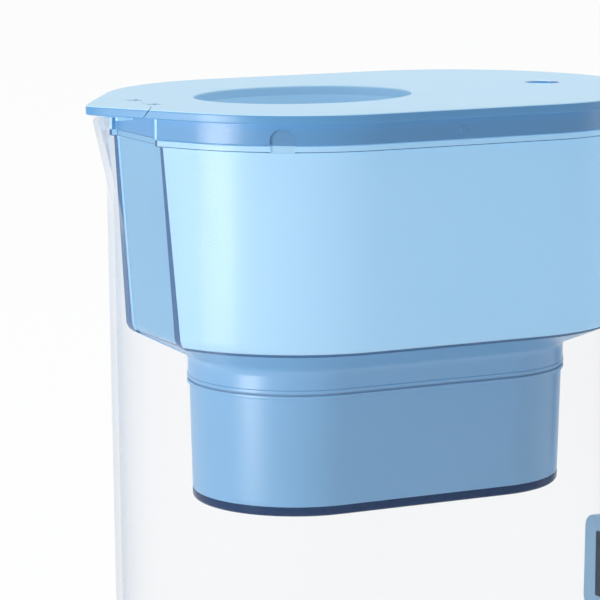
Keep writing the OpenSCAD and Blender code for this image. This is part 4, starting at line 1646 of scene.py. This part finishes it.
    def build(self) -> None:
        """Builds the lid's pieces and dresses its pins."""
        # Painted shade: the plate's upright rim takes the skirt's deeper blue
        edge = [(self.finishes.frame, self.rim)]
        finish_piece(
            self.cover(), "lid_top", self.finishes.lid, "lid", ["lid_cover"],
            accents=edge,
        )
        finish_piece(
            self.skirt(), "lid_skirt", self.finishes.frame, "lid",
            # Painted light: the skirt's ends beside the channel take the lid's pale finish
            ["lid_frame"], 38, [(self.finishes.lid, self.end)],
        )
        finish_piece(
            self.well_wall(), "fill_well_wall", self.finishes.well, "lid",
            ["fill_well"],
        )
        finish_piece(
            self.fill_flap(), "fill_flap_oval", self.finishes.handle, "fill_flap",
            ["fill_flap"],
        )
        finish_piece(
            self.pour_flap(), "pour_flap_tip", self.finishes.lid, "spout_flap",
            ["spout_flap"], accents=edge,
        )
        dress("fill_pin", self.finishes.pin)
        dress("spout_pin", self.finishes.pin)


@dataclass
class Indicator:
    """The filter indicator: a ring, a press button, and the case with board and cell."""

    finishes: Finishes
    at: Heights
    x: float = 70.55
    button_r: float = 6.1
    ring_in: float = 6.3
    ring_out: float = 7.1

    def build(self) -> None:
        """Builds the ring and the button and dresses the rest."""
        top = self.at.lid

        def circle(r: float, z: float) -> list[Point]:
            """A circle round the indicator's middle."""
            turn = [2 * math.pi * i / 96 for i in range(96)]
            return [(self.x + r * math.cos(t), r * math.sin(t)) for t in turn]

        ring = rounded(
            [
                (self.ring_in, top - 1.6, 0), (self.ring_out, top - 1.6, 0.1),
                (self.ring_out, top + 0.15, 0.25), (self.ring_in, top + 0.15, 0.25),
                (self.ring_in, top - 1.5, 0),
            ],
            4,
        )
        finish_piece(
            drawn(ring, circle, True), "indicator_ring", self.finishes.bezel, "lid",
            ["indicator_bezel"],
        )
        low = self.at.plate
        cap = rounded(
            [
                (1.6, low - 2.1, 0), (1.6, low - 1.1, 0.2), (self.ring_out, low - 1.1, 0.1),
                (self.ring_out, low - 0.1, 0.1), (self.button_r, low - 0.1, 0.1),
                (self.button_r, top - 0.35, 0.35), (1.0, top - 0.5, 0),
            ],
            4,
        )
        finish_piece(
            drawn(cap, circle, False), "indicator_press", self.finishes.button, "button",
            ["indicator_button"],
        )
        for node, finish in (
            ("indicator_case", self.finishes.cap), ("indicator_board", self.finishes.board),
            ("indicator_cell", self.finishes.pin),
        ):
            dress(node, finish)


# ------------------------------------------------------------------ studio


@dataclass
class Studio:
    """The pale floor, the soft lights and the camera."""

    lens: float = 195.0
    place: tuple[float, float, float] = (-0.57071, -1.05406, 0.38023)
    azimuth: float = -27.045
    pitch: float = 9.323
    fill: float = 0.39
    bright: float = 0.96
    lamps: tuple[tuple[str, tuple[float, float, float], float, float], ...] = (
        ("key", (-0.86, -0.24, 0.165), 0.32, 3.9),
        ("side", (0.9, -0.3, 0.3), 0.4, 0.6),
        ("top", (0.0, 0.1, 2.4), 1.9, 27.0),
    )

    def seen(self, tree: bpy.types.NodeTree) -> bpy.types.NodeSocket:
        """Tells the rays that the eye follows from those that only light things.

        Args:
            tree: The node tree that takes it.

        Returns:
            1 for a camera, glossy or transmission ray, else 0.
        """
        path = add_node(tree, "ShaderNodeLightPath")
        seen = path.outputs["Is Camera Ray"]
        for kind in ("Is Glossy Ray", "Is Transmission Ray"):
            seen = add_node(
                tree, "ShaderNodeMath", {"operation": "MAXIMUM"}, {0: seen, 1: path.outputs[kind]}
            ).outputs[0]
        return seen

    def world(self) -> None:
        """An even pale surround, white where it is seen."""
        world = bpy.data.worlds.new("studio")
        world.use_nodes = True
        bpy.context.scene.world = world
        tree = world.node_tree
        tree.nodes.clear()
        seen = self.seen(tree)
        lit = add_node(
            tree, "ShaderNodeBackground", {"Color": linear("#e6f0fc"), "Strength": self.fill}
        ).outputs[0]
        white = add_node(
            tree, "ShaderNodeBackground", {"Color": WHITE, "Strength": 1.0}
        ).outputs[0]
        mixed = add_node(tree, "ShaderNodeMixShader", links={"Fac": seen, 1: lit, 2: white})
        add_node(tree, "ShaderNodeOutputWorld", links={"Surface": mixed.outputs[0]})

    def lamp(
        self, name: str, place: Sequence[float], aim: Sequence[float], size: float, power: float
    ) -> None:
        """Adds one softbox.

        Args:
            name: Its name.
            place: Where it stands, in metres.
            aim: What it faces.
            size: Length of its sides.
            power: Its power in watts.
        """
        data = bpy.data.lights.new(name, "AREA")
        data.shape, data.size, data.energy = "SQUARE", size, power
        made = bpy.data.objects.new(name, data)
        made.location = place
        made.rotation_euler = (Vector(aim) - Vector(place)).to_track_quat("-Z", "Y").to_euler()
        bpy.context.scene.collection.objects.link(made)

    def floor(self) -> None:
        """A wide white floor that keeps a soft shadow."""
        bm = bmesh.new()
        bmesh.ops.create_grid(bm, x_segments=4, y_segments=4, size=6)
        mesh = bpy.data.meshes.new("floor")
        bm.to_mesh(mesh)
        bm.free()
        material, tree = blank("floor_paper")
        seen = self.seen(tree)
        # The rest of the share stays paper, which keeps the object's shadow
        share = add_node(
            tree, "ShaderNodeMath", {"operation": "MULTIPLY", 1: self.bright}, {0: seen}
        ).outputs[0]
        paper = add_node(tree, "ShaderNodeBsdfDiffuse", {"Color": linear("#fbfcfd")}).outputs[0]
        white = add_node(
            tree, "ShaderNodeEmission", {"Color": WHITE, "Strength": 1.0}
        ).outputs[0]
        mixed = add_node(tree, "ShaderNodeMixShader", links={"Fac": share, 1: paper, 2: white})
        add_node(tree, "ShaderNodeOutputMaterial", links={"Surface": mixed.outputs[0]})
        mesh.materials.append(material)
        made = bpy.data.objects.new("floor", mesh)
        bpy.context.scene.collection.objects.link(made)

    def camera(self) -> None:
        """The camera at the photograph's angle."""
        data = bpy.data.cameras.new("camera")
        data.lens, data.sensor_width = self.lens, 36.0
        data.clip_start, data.clip_end = 0.05, 50.0
        made = bpy.data.objects.new("camera", data)
        a, e = math.radians(self.azimuth), math.radians(self.pitch)
        back = Vector((math.sin(a) * math.cos(e), -math.cos(a) * math.cos(e), math.sin(e)))
        made.location = self.place
        made.rotation_euler = (-back).to_track_quat("-Z", "Y").to_euler()
        bpy.context.scene.collection.objects.link(made)
        bpy.context.scene.camera = made

    def build(self) -> None:
        """Sets up the studio."""
        self.camera()
        self.world()
        self.floor()
        for name, place, size, power in self.lamps:
            self.lamp(name, place, (0, 0, 0.2), size, power)
        bpy.context.scene.view_settings.view_transform = "Standard"


def main() -> None:
    """Builds the studio and every sub-assembly, in order."""
    logging.basicConfig(level=logging.INFO, format="%(name)s: %(message)s")
    Studio().build()
    plan, at, finishes = Plan(), Heights(), Finishes()
    jug = Jug(plan, at, finishes)
    jug.build()
    Handle(plan, at, finishes, jug).build()
    Hopper(plan, at, finishes, jug).build()
    Cartridge(plan, at, finishes).build()
    Lid(plan, at, finishes, jug).build()
    Indicator(finishes, at).build()


if __name__ == "__main__":
    main()
